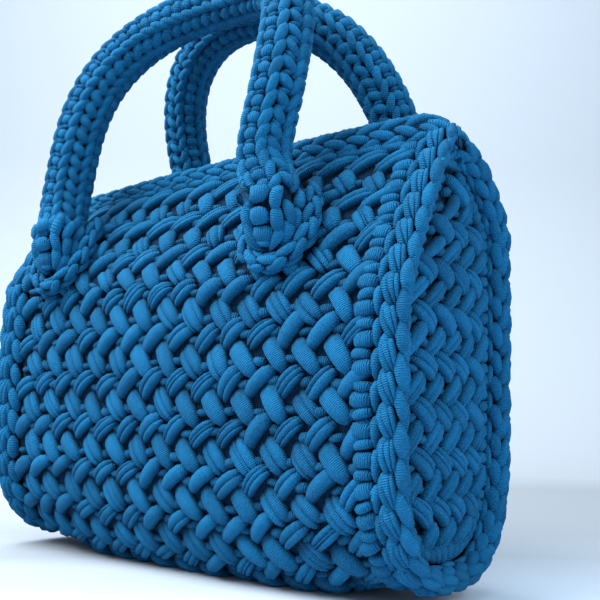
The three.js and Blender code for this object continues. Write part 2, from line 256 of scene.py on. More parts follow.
@dataclass
class Knit:
    """Collects the strands and backings of one piece and makes its mesh.

    Points of a strand are darkened by their height, as painted shade in the creases: those lower than dark
    above the sheet have only a share of the lit colour, and those higher than light have all of the strand's
    own share.
    """

    seed: int
    dark: float = -4.5
    light: float = -0.5
    dullest: float = 0.7
    # painted shade: the share of the lit colour left at the bottom of the creases
    crease_shade_share: float = 0.25
    yarn_run: float = 40.0
    # painted shade: backings take the darkest colour, as the gaps between strands lie in shadow
    backing_shade_tone: float = 0.0
    backing_step: float = 3.0
    rng: Random = field(init=False)
    points: list = field(default_factory=list)
    loops: list = field(default_factory=list)
    totals: list = field(default_factory=list)
    uv: list = field(default_factory=list)
    tones: list = field(default_factory=list)
    count: int = 0

    def __post_init__(self) -> None:
        """Starts the piece's own random numbers."""
        self.rng = np.random.default_rng(self.seed)

    def add(self, points: np.ndarray, loops: np.ndarray, totals: np.ndarray, uv: np.ndarray,
            tones: np.ndarray) -> None:
        """Adds one batch of faces.

        Args:
            points: the batch's points.
            loops: the faces' corners, counted from the batch's first point.
            totals: how many corners each face has.
            uv: the pattern's place at each point.
            tones: the share of the lit colour at each point, lowered as painted shade in creases and on
                backings.
        """
        self.points.append(points.reshape(-1, 3))
        self.loops.append(loops.ravel() + self.count)
        self.totals.append(totals.ravel())
        self.uv.append(uv.reshape(-1, 2)[loops.ravel()])
        self.tones.append(tones.ravel())
        self.count += len(points.reshape(-1, 3))

    def lay(self, sheet: Sheet, strands: Strands) -> None:
        """Lays strands on a sheet, each a closed capsule of quads with two small caps.

        Args:
            sheet: the surface they follow.
            strands: where they lie and what size they have.
        """
        n, rings, sides = len(strands.s), strands.rings, strands.sides
        if n == 0:
            return
        a, b, h, along, girth = strands.coordinates()
        points = sheet.place(strands.s, strands.t, a, b, h)
        i, j = np.meshgrid(np.arange(rings - 1), np.arange(sides), indexing="ij")
        k = (j + 1) % sides
        quads = np.stack([i * sides + j, i * sides + k, (i + 1) * sides + k, (i + 1) * sides + j], -1).ravel()
        caps = np.concatenate([np.arange(sides)[::-1], (rings - 1) * sides + np.arange(sides)])
        one = np.concatenate([quads, caps])
        loops = (np.arange(n)[:, None] * rings * sides + one[None, :]).ravel()
        totals = np.tile(np.concatenate([np.full((rings - 1) * sides, 4), [sides, sides]]), n)
        shift = self.rng.uniform(0, self.yarn_run, (n, 1))
        own = self.rng.uniform(self.dullest, 1.0, (n, 1))
        # painted shade: points low between the strands get less of the lit colour
        depth = smooth((h - self.dark) / (self.light - self.dark))
        tones = own * mix(self.crease_shade_share, 1, depth)
        self.add(points, loops, totals, np.stack([along + shift, girth], -1), tones)

    def shell(self, outer: np.ndarray, inner: np.ndarray) -> None:
        """Adds a closed backing between two grids of points, with walls round their four edges.

        Args:
            outer: the outside, where its first index cross its second points outwards.
            inner: the inside, on a grid of the same size.
        """
        rows, columns = outer.shape[:2]
        index = np.arange(2 * rows * columns).reshape(2, rows, columns)

        def quads(g: np.ndarray) -> np.ndarray:
            """The faces of one grid of point numbers."""
            return np.stack([g[:-1, :-1], g[1:, :-1], g[1:, 1:], g[:-1, 1:]], -1).reshape(-1, 4)

        walls = []
        for low, high, flip in (
            (index[0, 0], index[1, 0], False), (index[0, -1], index[1, -1], True),
            (index[0, :, 0], index[1, :, 0], True), (index[0, :, -1], index[1, :, -1], False),
        ):
            wall = np.stack([low[:-1], low[1:], high[1:], high[:-1]], -1)
            walls.append(wall[:, ::-1] if flip else wall)
        faces = np.concatenate([quads(index[0]), quads(index[1])[:, ::-1], *walls])
        points = np.stack([outer, inner])
        uv = self.backing_uv(rows, columns)
        self.add(points, faces, np.full(len(faces), 4), np.stack([uv, uv]), self.backing_tones(index.size))

    def tube(self, sheet: Sheet, share: float) -> None:
        """Adds the closed backing of a tube, shrunk about the middle of its line, its two ends capped.

        Args:
            sheet: the tube's surface.
            share: how much of its thickness is left.
        """
        points = mix(sheet.points.mean(axis=0, keepdims=True), sheet.points, share)
        rows, columns = points.shape[:2]
        index = np.arange(rows * columns).reshape(rows, columns)
        after = np.roll(index, -1, 0)
        quads = np.stack([index[:, :-1], after[:, :-1], after[:, 1:], index[:, 1:]], -1).reshape(-1, 4)
        loops = np.concatenate([quads.ravel(), index[::-1, 0], index[:, -1]])
        totals = np.concatenate([np.full(len(quads), 4), [rows, rows]])
        self.add(points, loops, totals, self.backing_uv(rows, columns), self.backing_tones(index.size))

    def backing_uv(self, rows: int, columns: int) -> np.ndarray:
        """The pattern's place on a backing's grid, at even steps."""
        steps = np.meshgrid(np.arange(rows), np.arange(columns), indexing="ij")
        return np.stack(steps, -1) * self.backing_step

    def backing_tones(self, count: int) -> np.ndarray:
        """The tone of a backing's points: none of the lit colour, as painted shade for the gaps between
        strands.
        """
        return np.full(count, self.backing_shade_tone)

    def finish(self, name: str, material: bpy.types.Material) -> bpy.types.Object:
        """Makes the mesh in the frame's place, above the floor, and links its object.

        Args:
            name: the piece's name.
            material: its finish.

        Returns:
            The new object, at the origin, unturned and unscaled.
        """
        points = np.concatenate(self.points) * MM + [0.0, mid_plane(), 0.0]
        points[:, 2] = np.maximum(points[:, 2], FLOOR_LIFT * MM)
        loops = np.concatenate(self.loops).astype(np.int32)
        totals = np.concatenate(self.totals).astype(np.int32)
        starts = np.concatenate([[0], np.cumsum(totals)[:-1]]).astype(np.int32)
        mesh = bpy.data.meshes.new(name)
        mesh.vertices.add(len(points))
        mesh.vertices.foreach_set("co", points.astype(np.float32).ravel())
        mesh.loops.add(len(loops))
        mesh.loops.foreach_set("vertex_index", loops)
        mesh.polygons.add(len(starts))
        mesh.polygons.foreach_set("loop_start", starts)
        mesh.polygons.foreach_set("use_smooth", np.ones(len(starts), bool))
        uv = mesh.uv_layers.new(name="strand")
        uv.data.foreach_set("uv", np.concatenate(self.uv).astype(np.float32).ravel())
        tone = mesh.attributes.new("tone", "FLOAT", "POINT")
        tone.data.foreach_set("value", np.concatenate(self.tones).astype(np.float32))
        mesh.update(calc_edges=True)
        mesh.validate()
        mesh.materials.append(material)
        piece = bpy.data.objects.new(name, mesh)
        bpy.context.scene.collection.objects.link(piece)
        return piece


@dataclass
class Skin:
    """The strip's outer surface, by the same sizes as the solids."""

    length: float = 260.0
    depth: float = 98.5
    top: float = 202.2
    flat_middle: float = 38.0
    flat_end: float = 16.0
    corner_rise: float = 52.0
    belly: float = 1.5
    front_slant: float = 74.0
    front_slant_left: float = 54.0
    back_slant: float = 35.0
    front_fullness: float = 0.9
    back_fullness: float = 0.74
    lip_setback: float = 11.5
    mouth_bow: float = 4.0
    left_slump: float = 7.0
    end_lift: float = 9.0
    flat_share: float = 0.45
    open_length: float = 231.4
    corner_points: int = 60
    wall_points: int = 50
    slant_points: int = 90
    slant_crowding: float = 2.2
    columns: int = 105
    rows: int = 361

    def half(self, side: Side, x: np.ndarray) -> np.ndarray:
        """The outer line of one half of the section, from the flat bottom's edge to the lip, for many x.

        It is a quarter ellipse, a wall swollen by a half sine, and a slant whose distance to the mid plane is
        a power of the share left to go, with its points crowded towards the lip. The ends of the bag lie a
        little higher, by the square of what is left to the top.

        Args:
            side: the front or the back.
            x: places along the bag.

        Returns:
            Points of y and z, one row for each x.
        """
        q = np.minimum(np.abs(x) / (self.length / 2), 1.0)[:, None]
        reach = self.depth / 2
        run = reach - mix(self.flat_middle, self.flat_end, q * q) / 2
        lift = self.end_lift * smooth((q - self.flat_share) / (1 - self.flat_share))
        lip = self.lip_setback + self.mouth_bow * (1 - q * q)
        top = self.top - self.left_slump * (0.5 - x[:, None] / self.length) ** 2
        leaning = mix(self.front_slant_left, self.front_slant, smooth(x[:, None] / self.length + 0.5))
        slant = leaning if side is Side.FRONT else np.full_like(leaning, self.back_slant)
        fullness = self.front_fullness if side is Side.FRONT else self.back_fullness
        turn = np.linspace(0, np.pi / 2, self.corner_points)[None, :]
        share = np.linspace(0, 1, self.wall_points)[None, 1:]
        close = 1 - (1 - np.linspace(0, 1, self.slant_points)[None, 1:]) ** self.slant_crowding
        out = np.concatenate([
            reach - run + run * np.sin(turn),
            reach + self.belly * np.sin(np.pi * share) + 0 * run,
            mix(lip, reach, (1 - close) ** fullness)], axis=1)
        up = np.concatenate([
            self.corner_rise * (1 - np.cos(turn)) + 0 * run,
            mix(self.corner_rise, top - slant, share),
            top + slant * (close**fullness - 1)], axis=1)
        return np.stack([side.value * out, up + lift * (1 - up / top) ** 2], -1)

    def section(self, x: np.ndarray) -> np.ndarray:
        """The whole outer line from the back lip, round under the bottom, to the front lip, evenly spaced.

        Args:
            x: places along the bag.

        Returns:
            Points of y and z with the same arc length between neighbours, one row for each x.
        """
        line = np.concatenate([self.half(Side.BACK, x)[:, ::-1], self.half(Side.FRONT, x)], axis=1)
        even = np.linspace(0, 1, self.rows)
        arcs = [arc_length(row) for row in line]
        return np.stack([
            np.stack([np.interp(even * arc[-1], arc, row[:, k]) for k in (0, 1)], -1)
            for arc, row in zip(arcs, line)])

    def offset_section(self, x: np.ndarray, offset: np.ndarray) -> np.ndarray:
        """The section at each x, moved out across itself by an offset of its own.

        Args:
            x: places along the bag.
            offset: millimetres outwards, one for each x.

        Returns:
            Points in space, one row for each x.
        """
        line = self.section(x)
        way = unit(np.gradient(line, axis=1))
        moved = line + np.stack([-way[..., 1], way[..., 0]], -1) * offset[:, None, None]
        return np.concatenate([np.broadcast_to(x[:, None, None], line.shape[:2] + (1,)), moved], -1)

    def sheet(self) -> Sheet:
        """The whole outer surface: s along the bag, t from the back lip round to the front lip.

        Returns:
            The sheet.
        """
        x = np.linspace(-self.length / 2, self.length / 2, self.columns)
        edge = self.open_length / self.length / 2
        return Sheet(self.offset_section(x, np.zeros_like(x)), limits=(0.5 - edge, 0.5 + edge))

    def girth(self, sheet: Sheet, s: np.ndarray) -> np.ndarray:
        """The section's arc length from lip to lip at each s."""
        return np.linalg.norm(sheet.blend(sheet.along_t, s, np.full_like(s, 0.5)), axis=-1)

    def seat(self, sheet: Sheet, side: Side, x: np.ndarray, drop: np.ndarray,
             height: np.ndarray) -> tuple[np.ndarray, np.ndarray]:
        """Places on the outer face that lie a distance below a lip, stood off across it.

        Args:
            sheet: the whole outer surface.
            side: whose lip.
            x: places along the bag.
            drop: millimetres below the lip along the surface.
            height: millimetres off the surface.

        Returns:
            The points and the surface's outward directions.
        """
        s = x / self.length + 0.5
        share = drop / self.girth(sheet, s)
        t = share if side is Side.BACK else 1 - share
        out = unit(sheet.blend(sheet.normal, s, t))
        return sheet.blend(sheet.points, s, t) + out * height[:, None], out


@dataclass
class Graph:
    """A material's nodes, added one kind at a time."""

    tree: bpy.types.NodeTree

    def connect(self, value: Socket | float, socket: Socket) -> None:
        """Links a socket to another, or sets it to a number.

        Args:
            value: the other socket or the number.
            socket: the input.
        """
        if isinstance(value, Socket):
            self.tree.links.new(value, socket)
        else:
            socket.default_value = value

    def noise(self, where: Socket, scale: float, detail: float) -> Socket:
        """Adds a noise.

        Args:
            where: the places it is read at.
            scale: how many of its waves a unit has.
            detail: how many finer layers it has.

        Returns:
            The noise's strength.
        """
        node = self.tree.nodes.new("ShaderNodeTexNoise")
        node.inputs["Scale"].default_value = scale
        node.inputs["Detail"].default_value = detail
        self.connect(where, node.inputs["Vector"])
        return node.outputs["Fac"]

    def sum(self, operation: str, *values: Socket | float, clamp: bool = False) -> Socket:
        """The result of one Math node.

        Args:
            operation: the node's operation.
            values: its inputs in order, each a socket or a number.
            clamp: whether the result is held between 0 and 1.

        Returns:
            The node's output.
        """
        node = self.tree.nodes.new("ShaderNodeMath")
        node.operation = operation
        node.use_clamp = clamp
        for value, socket in zip(values, node.inputs):
            self.connect(value, socket)
        return node.outputs[0]

    def bump(self, height: Socket, strength: float, relief: float, under: Socket | None = None) -> Socket:
        """A relief laid over another one.

        Args:
            height: the share of the relief's height.
            strength: how strongly it shows.
            relief: its height in millimetres.
            under: the normal of the relief under it.

        Returns:
            The new normal.
        """
        node = self.tree.nodes.new("ShaderNodeBump")
        node.inputs["Strength"].default_value = strength
        node.inputs["Distance"].default_value = relief * MM
        self.connect(height, node.inputs["Height"])
        if under is not None:
            self.connect(under, node.inputs["Normal"])
        return node.outputs["Normal"]


@dataclass(frozen=True)
class JerseyYarn:
    """The finish of jersey yarn: a matt blue knit with fine ribs across each strand and a soft nap.

    Colours are linear. The deep colour is painted shade. The tone of a strand, kept in the mesh, mixes the
    deep colour with the lit one, so that creases and backings carry painted shade, and a slow mottle and the
    nap make the mix uneven. Ribs and folds follow the strand on its own UV map, which is in millimetres along
    and across it. Mottle and nap read Object coordinates.
    """

    name: str
    lit: tuple[float, float, float] = (0.004, 0.122, 0.285)
    # painted shade: the colour of the creases between strands and of the backings
    deep: tuple[float, float, float] = (0.0008, 0.013, 0.038)
    roughness: float = 0.92
    gloss: float = 0.12
    sheen: float = 0.06
    sheen_roughness: float = 0.5
    sheen_tint: tuple[float, float, float] = (0.15, 0.55, 0.9)
    mottle_scale: float = 260.0
    mottle_detail: float = 3.0
    mottle_gain: float = 0.35
    mottle_shift: float = -0.17
    nap_scale: float = 1150.0
    nap_detail: float = 2.0
    nap_strength: float = 0.75
    grain: float = 0.5
    rib_pitch: float = 0.95
    rib_strength: float = 1.0
    rib_waver: float = 1.5
    rib_waver_scale: float = 2.0
    fine_relief: float = 0.4
    fold_stretch: tuple[float, float, float] = (0.06, 0.5, 1.0)
    fold_detail: float = 2.0
    fold_strength: float = 0.5
    fold_relief: float = 1.2

    def make(self) -> bpy.types.Material:
        """Builds the node material.

        Returns:
            The material.
        """
        material = bpy.data.materials.new(self.name)
        material.use_nodes = True
        graph = Graph(material.node_tree)
        shader = material.node_tree.nodes["Principled BSDF"]
        shader.inputs["Roughness"].default_value = self.roughness
        shader.inputs["Specular IOR Level"].default_value = self.gloss
        shader.inputs["Sheen Weight"].default_value = self.sheen
        shader.inputs["Sheen Roughness"].default_value = self.sheen_roughness
        shader.inputs["Sheen Tint"].default_value = (*self.sheen_tint, 1.0)
        place = material.node_tree.nodes.new("ShaderNodeTexCoord")
        nap = graph.noise(place.outputs["Object"], self.nap_scale, self.nap_detail)
        graph.connect(self.colour(graph, place, nap), shader.inputs["Base Color"])
        graph.connect(self.relief(graph, place, nap), shader.inputs["Normal"])
        return material

    def colour(self, graph: Graph, place: bpy.types.Node, nap: Socket) -> Socket:
        """Mixes the deep colour, which is painted shade, with the lit one by the tone, plus the mottle and
        the nap about their middles.

        Args:
            graph: the material's nodes.
            place: the coordinates.
            nap: the nap's strength.

        Returns:
            The colour.
        """
        tone = graph.tree.nodes.new("ShaderNodeAttribute")
        tone.attribute_name = "tone"
        mottle = graph.noise(place.outputs["Object"], self.mottle_scale, self.mottle_detail)
        slow = graph.sum("MULTIPLY_ADD", mottle, self.mottle_gain, self.mottle_shift)
        both = graph.sum("MULTIPLY_ADD", nap, self.grain, slow)
        level = graph.sum("ADD", both, -self.grain / 2)
        node = graph.tree.nodes.new("ShaderNodeMix")
        node.data_type = "RGBA"
        node.inputs["A"].default_value = (*self.deep, 1.0)
        node.inputs["B"].default_value = (*self.lit, 1.0)
        graph.connect(graph.sum("ADD", tone.outputs["Fac"], level, clamp=True), node.inputs["Factor"])
        return node.outputs["Result"]

    def relief(self, graph: Graph, place: bpy.types.Node, nap: Socket) -> Socket:
        """Lays the ribs over long folds, and the nap over both.

        The ribs are a wave whose bands repeat every twentieth of a turn of its scaled coordinate.

        Args:
            graph: the material's nodes.
            place: the coordinates.
            nap: the nap's strength.

        Returns:
            The normal.
        """
        stretch = graph.tree.nodes.new("ShaderNodeMapping")
        stretch.inputs["Scale"].default_value = self.fold_stretch
        graph.connect(place.outputs["UV"], stretch.inputs["Vector"])
        folds = graph.noise(stretch.outputs["Vector"], 1.0, self.fold_detail)
        ribs = graph.tree.nodes.new("ShaderNodeTexWave")
        ribs.bands_direction = "X"
        ribs.inputs["Scale"].default_value = 2 * np.pi / 20 / self.rib_pitch
        ribs.inputs["Distortion"].default_value = self.rib_waver
        ribs.inputs["Detail"].default_value = 1.0
        ribs.inputs["Detail Scale"].default_value = self.rib_waver_scale
        graph.connect(place.outputs["UV"], ribs.inputs["Vector"])
        folded = graph.bump(folds, self.fold_strength, self.fold_relief)
        ribbed = graph.bump(ribs.outputs["Fac"], self.rib_strength, self.fine_relief, folded)
        return graph.bump(nap, self.nap_strength, self.fine_relief, ribbed)


def wear(piece: bpy.types.Object, node: str) -> bpy.types.Object:
    """Hangs a piece on the one body, in place of its solid.

    Args:
        piece: the piece.
        node: the solid that it stands for.

    Returns:
        The same piece.
    """
    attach(piece, "root")
    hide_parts(node)
    return piece


@dataclass(frozen=True)
class Herringbone:
    """The herringbone stitch: rows of slanted lobes that lean right and left in turn.

    Lobes that lean right lie on a lattice of pitch by pair, and those that lean left half a pitch beside them
    and a bit below. A lobe is one, two or three strands side by side, by the odds given, and a nub shows
    between two lobes of a row. The values named near are for the rows beside the mouth, where right lobes are
    long, thin and flat, and left ones broad. Lengths are millimetres, and angles degrees. A spread is that of
    a bell curve, and a range is drawn from evenly.

    The outer strands of a lobe are shorter, by outer_cut times their distance from its middle, and rise less
    by outer_sink times it. A strand's thickness is slightest plus thick_gain times its share of the lobe.
    """

    pitch: float = 16.6
    pair: float = 21.9
    second_row: float = 9.7
    right_angle: float = 42.0
    left_angle: float = -50.0
    right_length: float = 21.0
    left_length: float = 20.5
    width: float = 8.3
    thick: float = 6.2
    height: float = -3.9
    lift: float = 2.4
    tilt: float = 1.1
    right_bow: float = 1.2
    left_bow: float = 0.36
    slim: float = 0.88
    broad: float = 1.1
    right_taper: float = 0.12
    left_taper: float = -0.2
    odds: tuple[float, ...] = (0.36, 0.46, 0.18)
    left_odds: tuple[float, ...] = (0.5, 0.38, 0.12)
    near_angle: float = 27.0
    near_length: float = 27.0
    near_slim: float = 0.73
    near_left_turn: float = -8.0
    near_left_cut: float = 3.0
    near_left_swell: float = 0.05
    turn_spread: float = 4.0
    bow_spread: float = 0.4
    height_spread: float = 0.3
    cut_spread: float = 0.14
    width_range: tuple[float, float] = (0.9, 1.1)
    length_range: tuple[float, float] = (0.93, 1.07)
    thick_range: tuple[float, float] = (0.95, 1.05)
    overlap: float = 1.18
    longest: float = 1.04
    outer_cut: float = 0.4
    outer_sink: float = 0.3
    slightest: float = 0.78
    thick_gain: float = 0.3
    rings: int = 8
    nub_length: float = 8.0
    nub_width: float = 4.2
    nub_thick: float = 4.4
    nub_height: float = -3.6
    nub_lift: float = 0.7
    nub_turn: tuple[float, float] = (4.0, 10.0)
    nub_length_range: tuple[float, float] = (0.85, 1.15)
    nub_width_range: tuple[float, float] = (0.8, 1.2)

    def lobes(self, rng: Random, s: np.ndarray, t: np.ndarray, leans_right: bool,
              near: Numbers = 0.0) -> list[Strands]:
        """One, two or three strands side by side for each lobe, of uneven width.

        Args:
            rng: the piece's random numbers.
            s: the lobes' places along s.
            t: the lobes' places along t.
            leans_right: True for the row that leans right.
            near: 1 beside the mouth, else 0.

        Returns:
            Groups of strands.
        """
        near = np.broadcast_to(near, s.shape)
        if leans_right:
            mean_angle = mix(self.right_angle, self.near_angle, near)
            mean_length = mix(self.right_length, self.near_length, near)
            mean_width = self.width * mix(self.slim, self.near_slim, near)
            taper, mean_bow, odds = self.right_taper, self.right_bow, self.odds
        else:
            mean_angle = self.left_angle + self.near_left_turn * near
            mean_length = self.left_length - self.near_left_cut * near
            mean_width = self.width * self.broad * (1 + self.near_left_swell * near)
            taper, mean_bow, odds = self.left_taper, self.left_bow, self.left_odds
        most = len(odds)
        kinds = rng.choice(np.arange(1, most + 1), len(s), p=odds)
        groups = []
        for parts in range(1, most + 1):
            mine = kinds == parts
            n = int(mine.sum())
            angle = np.radians(mean_angle[mine] + rng.normal(0, self.turn_spread, n))
            width = mean_width[mine] * rng.uniform(*self.width_range, n)
            length = mean_length[mine] * rng.uniform(*self.length_range, n)
            bow = mean_bow + rng.normal(0, self.bow_spread, n)
            height = self.height + rng.normal(0, self.height_spread, n)
            uneven = rng.uniform(-self.cut_spread, self.cut_spread, (n, parts - 1))
            cuts = np.sort(np.arange(1, parts) / parts + uneven, axis=1)
            cuts = np.hstack([np.zeros((n, 1)), cuts, np.ones((n, 1))])
            for low, high in zip(cuts.T[:-1], cuts.T[1:]):
                share, middle = high - low, (low + high) / 2 - 0.5
                thick = self.thick * (self.slightest + self.thick_gain * share)
                groups.append(Strands(
                    s=s[mine], t=t[mine], angle=angle,
                    length=length * (self.longest - self.outer_cut * np.abs(middle)),
                    width=width * share * (1.0 if parts == 1 else self.overlap),
                    thick=thick * rng.uniform(*self.thick_range, n), height=height,
                    lift=self.lift * (1 - self.outer_sink * np.abs(middle)), tilt=self.tilt,
                    side=width * middle, bow=bow, taper=taper, rings=self.rings))
        return groups

    def nubs(self, rng: Random, s: np.ndarray, t: np.ndarray) -> Strands:
        """The short loops that show between two lobes of a row.

        Args:
            rng: the piece's random numbers.
            s: the nubs' places along s.
            t: the nubs' places along t.

        Returns:
            The strands.
        """
        n = len(s)
        return Strands(
            s=s, t=t, angle=np.radians(rng.normal(*self.nub_turn, n)),
            length=self.nub_length * rng.uniform(*self.nub_length_range, n),
            width=self.nub_width * rng.uniform(*self.nub_width_range, n), thick=self.nub_thick,
            height=rng.normal(self.nub_height, self.height_spread, n), lift=self.nub_lift, rings=6, sides=6)


@dataclass(frozen=True)
class Stitch:
    """One kind of plain strand, with how far its copies differ.

    Lengths are millimetres and angles degrees. A copy's angle is drawn from a bell curve of mean and spread,
    and its length and width evenly between two bounds.
    """

    angle: float
    spread: float
    length: tuple[float, float]
    width: tuple[float, float]
    thick: float
    height: float
    lift: float
    tilt: float = 0.0
    taper: float = 0.0
    blunt: float = 5.0
    rings: int = 7
    sides: int = 7

    def strands(self, rng: Random, s: Numbers, t: np.ndarray) -> Strands:
        """Copies of the strand.

        Args:
            rng: the piece's random numbers.
            s: their places along s.
            t: their places along t.

        Returns:
            The strands.
        """
        n = len(t)
        return Strands(
            s=np.broadcast_to(s, t.shape), t=t, angle=np.radians(self.angle + rng.normal(0, self.spread, n)),
            length=rng.uniform(*self.length, n), width=rng.uniform(*self.width, n), thick=self.thick,
            height=self.height, lift=self.lift, tilt=self.tilt, taper=self.taper, blunt=self.blunt,
            rings=self.rings, sides=self.sides)


@dataclass
class Body:
    """One half of the strip that is the front, the bottom and the back, in herringbone.

    A plain column stands at the right, and a row of long strands closes it under the lip.
    """

    skin: Skin
    side: Side
    stitch: Herringbone = Herringbone()
    left: float = -115.0
    right: float = 106.0
    slope: float = 62.0
    slope_fade: float = 25.0
    lattice_x: float = 22.7
    first_row: float = 10.1
    rows: int = 40
    top_margin: float = 3.0
    far_margin: float = 4.0
    jitter: float = 0.5
    wave_height: float = 0.8
    wave_count: float = 23.0
    ripple_height: float = 0.5
    ripple_count: float = 51.0
    ripple_run: float = 30.0
    nub_drops: tuple[float, float] = (-0.5, 2.0)
    column_x: float = 110.5
    column_pitch: float = 6.1
    column_turn: tuple[float, float] = (4.0, 12.0)
    column_lengths: tuple[float, float] = (9.5, 11.0)
    column_widths: tuple[float, float] = (4.8, 7.2)
    column_bow: float = 0.4
    lip_pitch: float = 12.0
    lip_drop: float = 0.8
    lip_stop: float = 3.0
    lip_stitch: Stitch = Stitch(
        angle=-6, spread=4, length=(14.0, 16.5), width=(5.0, 6.0), thick=6.0, height=-2.2, lift=0.8, tilt=0.5,
        taper=0.1)
    sink: float = 3.8
    wall: float = 7.0
    half_length: float = 115.7
    backing_columns: int = 47
    backing_step: int = 3
    seed: int = 11

    def build(self, sheet: Sheet, yarn: bpy.types.Material) -> bpy.types.Object:
        """Knits the half, from its lip to the middle of the bottom.

        Args:
            sheet: the whole outer surface.
            yarn: its finish.

        Returns:
            The piece.
        """
        knit = Knit(self.seed + self.side.value, dark=-3.2, light=1.2)
        rng = knit.rng
        x = np.linspace(-self.half_length, self.half_length, self.backing_columns)
        middle = self.skin.rows // 2
        bounds = (middle, None) if self.side is Side.FRONT else (0, middle + 1)
        mine = slice(*bounds, self.backing_step)
        knit.shell(*(self.skin.offset_section(x, np.full_like(x, -depth))[:, mine]
                     for depth in (self.sink, self.wall)))
        half = self.stitch.pitch / 2
        places = ((True, 0.0, 0.0), (False, half, self.stitch.second_row))
        for (leans_right, dx, dv), nub_drop in zip(places, self.nub_drops):
            s, t, v = self.lattice(rng, sheet, dx, dv)
            near = smooth((self.slope - v) / self.slope_fade)
            for strands in self.stitch.lobes(rng, s, t, leans_right, near):
                knit.lay(sheet, strands)
            s, t, _ = self.lattice(rng, sheet, dx + half, dv + nub_drop)
            knit.lay(sheet, self.stitch.nubs(rng, s, t))
        knit.lay(sheet, self.plain_column(rng, sheet))
        s = np.arange(self.left, self.half_length - self.lip_stop, self.lip_pitch) / self.skin.length + 0.5
        drop = self.lip_drop / self.skin.girth(sheet, s)
        knit.lay(sheet, self.lip_stitch.strands(rng, s, 1 - drop if self.side is Side.FRONT else drop))
        word = self.side.name.lower()
        return wear(knit.finish(f"body_wrap_{word}_crochet", yarn), "body_wrap")

    def lattice(self, rng: Random, sheet: Sheet, shift_x: float,
                shift_v: float) -> tuple[np.ndarray, np.ndarray, np.ndarray]:
        """Places of one kind of stitch over the half, in rows that wave by the sum of two sines.

        Args:
            rng: the piece's random numbers.
            sheet: the whole outer surface.
            shift_x: millimetres along the bag from the lattice's own places.
            shift_v: millimetres down from them.

        Returns:
            The places along s and t, and the millimetres from the front lip.
        """
        count = int((self.right - self.left) / self.stitch.pitch) + 2
        x = self.lattice_x + shift_x + self.stitch.pitch * np.arange(-count, count)
        x = x[(x > self.left) & (x < self.right)]
        v = self.first_row + shift_v + self.stitch.pair * np.arange(self.rows)
        s, v = [g.ravel() for g in np.meshgrid(x / self.skin.length + 0.5, v)]
        ripple = self.ripple_height * np.sin(s * self.ripple_count + v / self.ripple_run)
        v = v + self.wave_height * np.sin(s * self.wave_count) + ripple + rng.normal(0, self.jitter, v.shape)
        s = s + rng.normal(0, self.jitter, s.shape) / self.skin.length
        girth = self.skin.girth(sheet, s)
        keep = (v > self.top_margin) & (v < girth - self.far_margin) & self.on_side(1 - v / girth)
        return s[keep], 1 - v[keep] / girth[keep], v[keep]

    def on_side(self, t: np.ndarray) -> np.ndarray:
        """Which places lie on the half that is being made."""
        return t >= 0.5 if self.side is Side.FRONT else t < 0.5

    def plain_column(self, rng: Random, sheet: Sheet) -> Strands:
        """The column of short stitches across the strip beside the right rim, thick and thin in turn.

        Args:
            rng: the piece's random numbers.
            sheet: the whole outer surface.

        Returns:
            The strands.
        """
        s0 = self.column_x / self.skin.length + 0.5
        girth = self.skin.girth(sheet, np.array([s0]))[0]
        t = 1 - np.arange(self.far_margin, girth - self.top_margin, self.column_pitch) / girth
        thin = np.arange(len(t)) % 2 == 1
        t, thin = t[self.on_side(t)], thin[self.on_side(t)]
        n = len(t)
        return Strands(
            s=s0 + rng.normal(0, self.jitter, n) / self.skin.length, t=t,
            angle=np.radians(rng.normal(*self.column_turn, n)), length=np.where(thin, *self.column_lengths),
            width=np.where(thin, *self.column_widths), thick=6.0, height=-2.4, lift=1.4,
            bow=rng.normal(0, self.column_bow, n))


@dataclass(frozen=True)
class ChainColumn:
    """One column of a chain that runs along a sheet: its place across, and how its strands lie.

    Lengths are millimetres, lean is degrees from the run of the chain, and phase is a share of the pitch. The
    ranges are shares of the size before them.
    """

    across: float
    lean: float
    length: float
    width: float
    thick: float
    height: float
    phase: float = 0.0
    tilt: float = 0.0
    taper: float = 0.0
    split: int = 1
    overlap: float = 1.25
    blunt: float = 3.0
    lean_spread: float = 4.0
    height_spread: float = 0.2
    length_range: tuple[float, float] = (0.92, 1.06)
    width_range: tuple[float, float] = (0.92, 1.1)
    thick_range: tuple[float, float] = (0.92, 1.08)

    def strands(self, rng: Random, s: np.ndarray, t: np.ndarray, mirror: int) -> list[Strands]:
        """Strands at given places along the column.

        Args:
            rng: the piece's random numbers.
            s: places along s.
            t: places along t.
            mirror: -1 turns the lean round, for the other end of the bag.

        Returns:
            One group of strands for each part that a stitch is split into.
        """
        n = len(t)
        angle = np.radians(90 - mirror * (self.lean + rng.normal(0, self.lean_spread, n)))
        groups = []
        for k in range(self.split):
            place = (k - (self.split - 1) / 2) * self.width / self.split
            wide = self.width / self.split * (1.0 if self.split == 1 else self.overlap)
            groups.append(Strands(
                s=s, t=t, angle=angle, length=self.length * rng.uniform(*self.length_range, n),
                width=wide * rng.uniform(*self.width_range, n),
                thick=self.thick * rng.uniform(*self.thick_range, n),
                height=self.height + rng.normal(0, self.height_spread, n), tilt=self.tilt, side=place,
                taper=self.taper, blunt=self.blunt))
        return groups


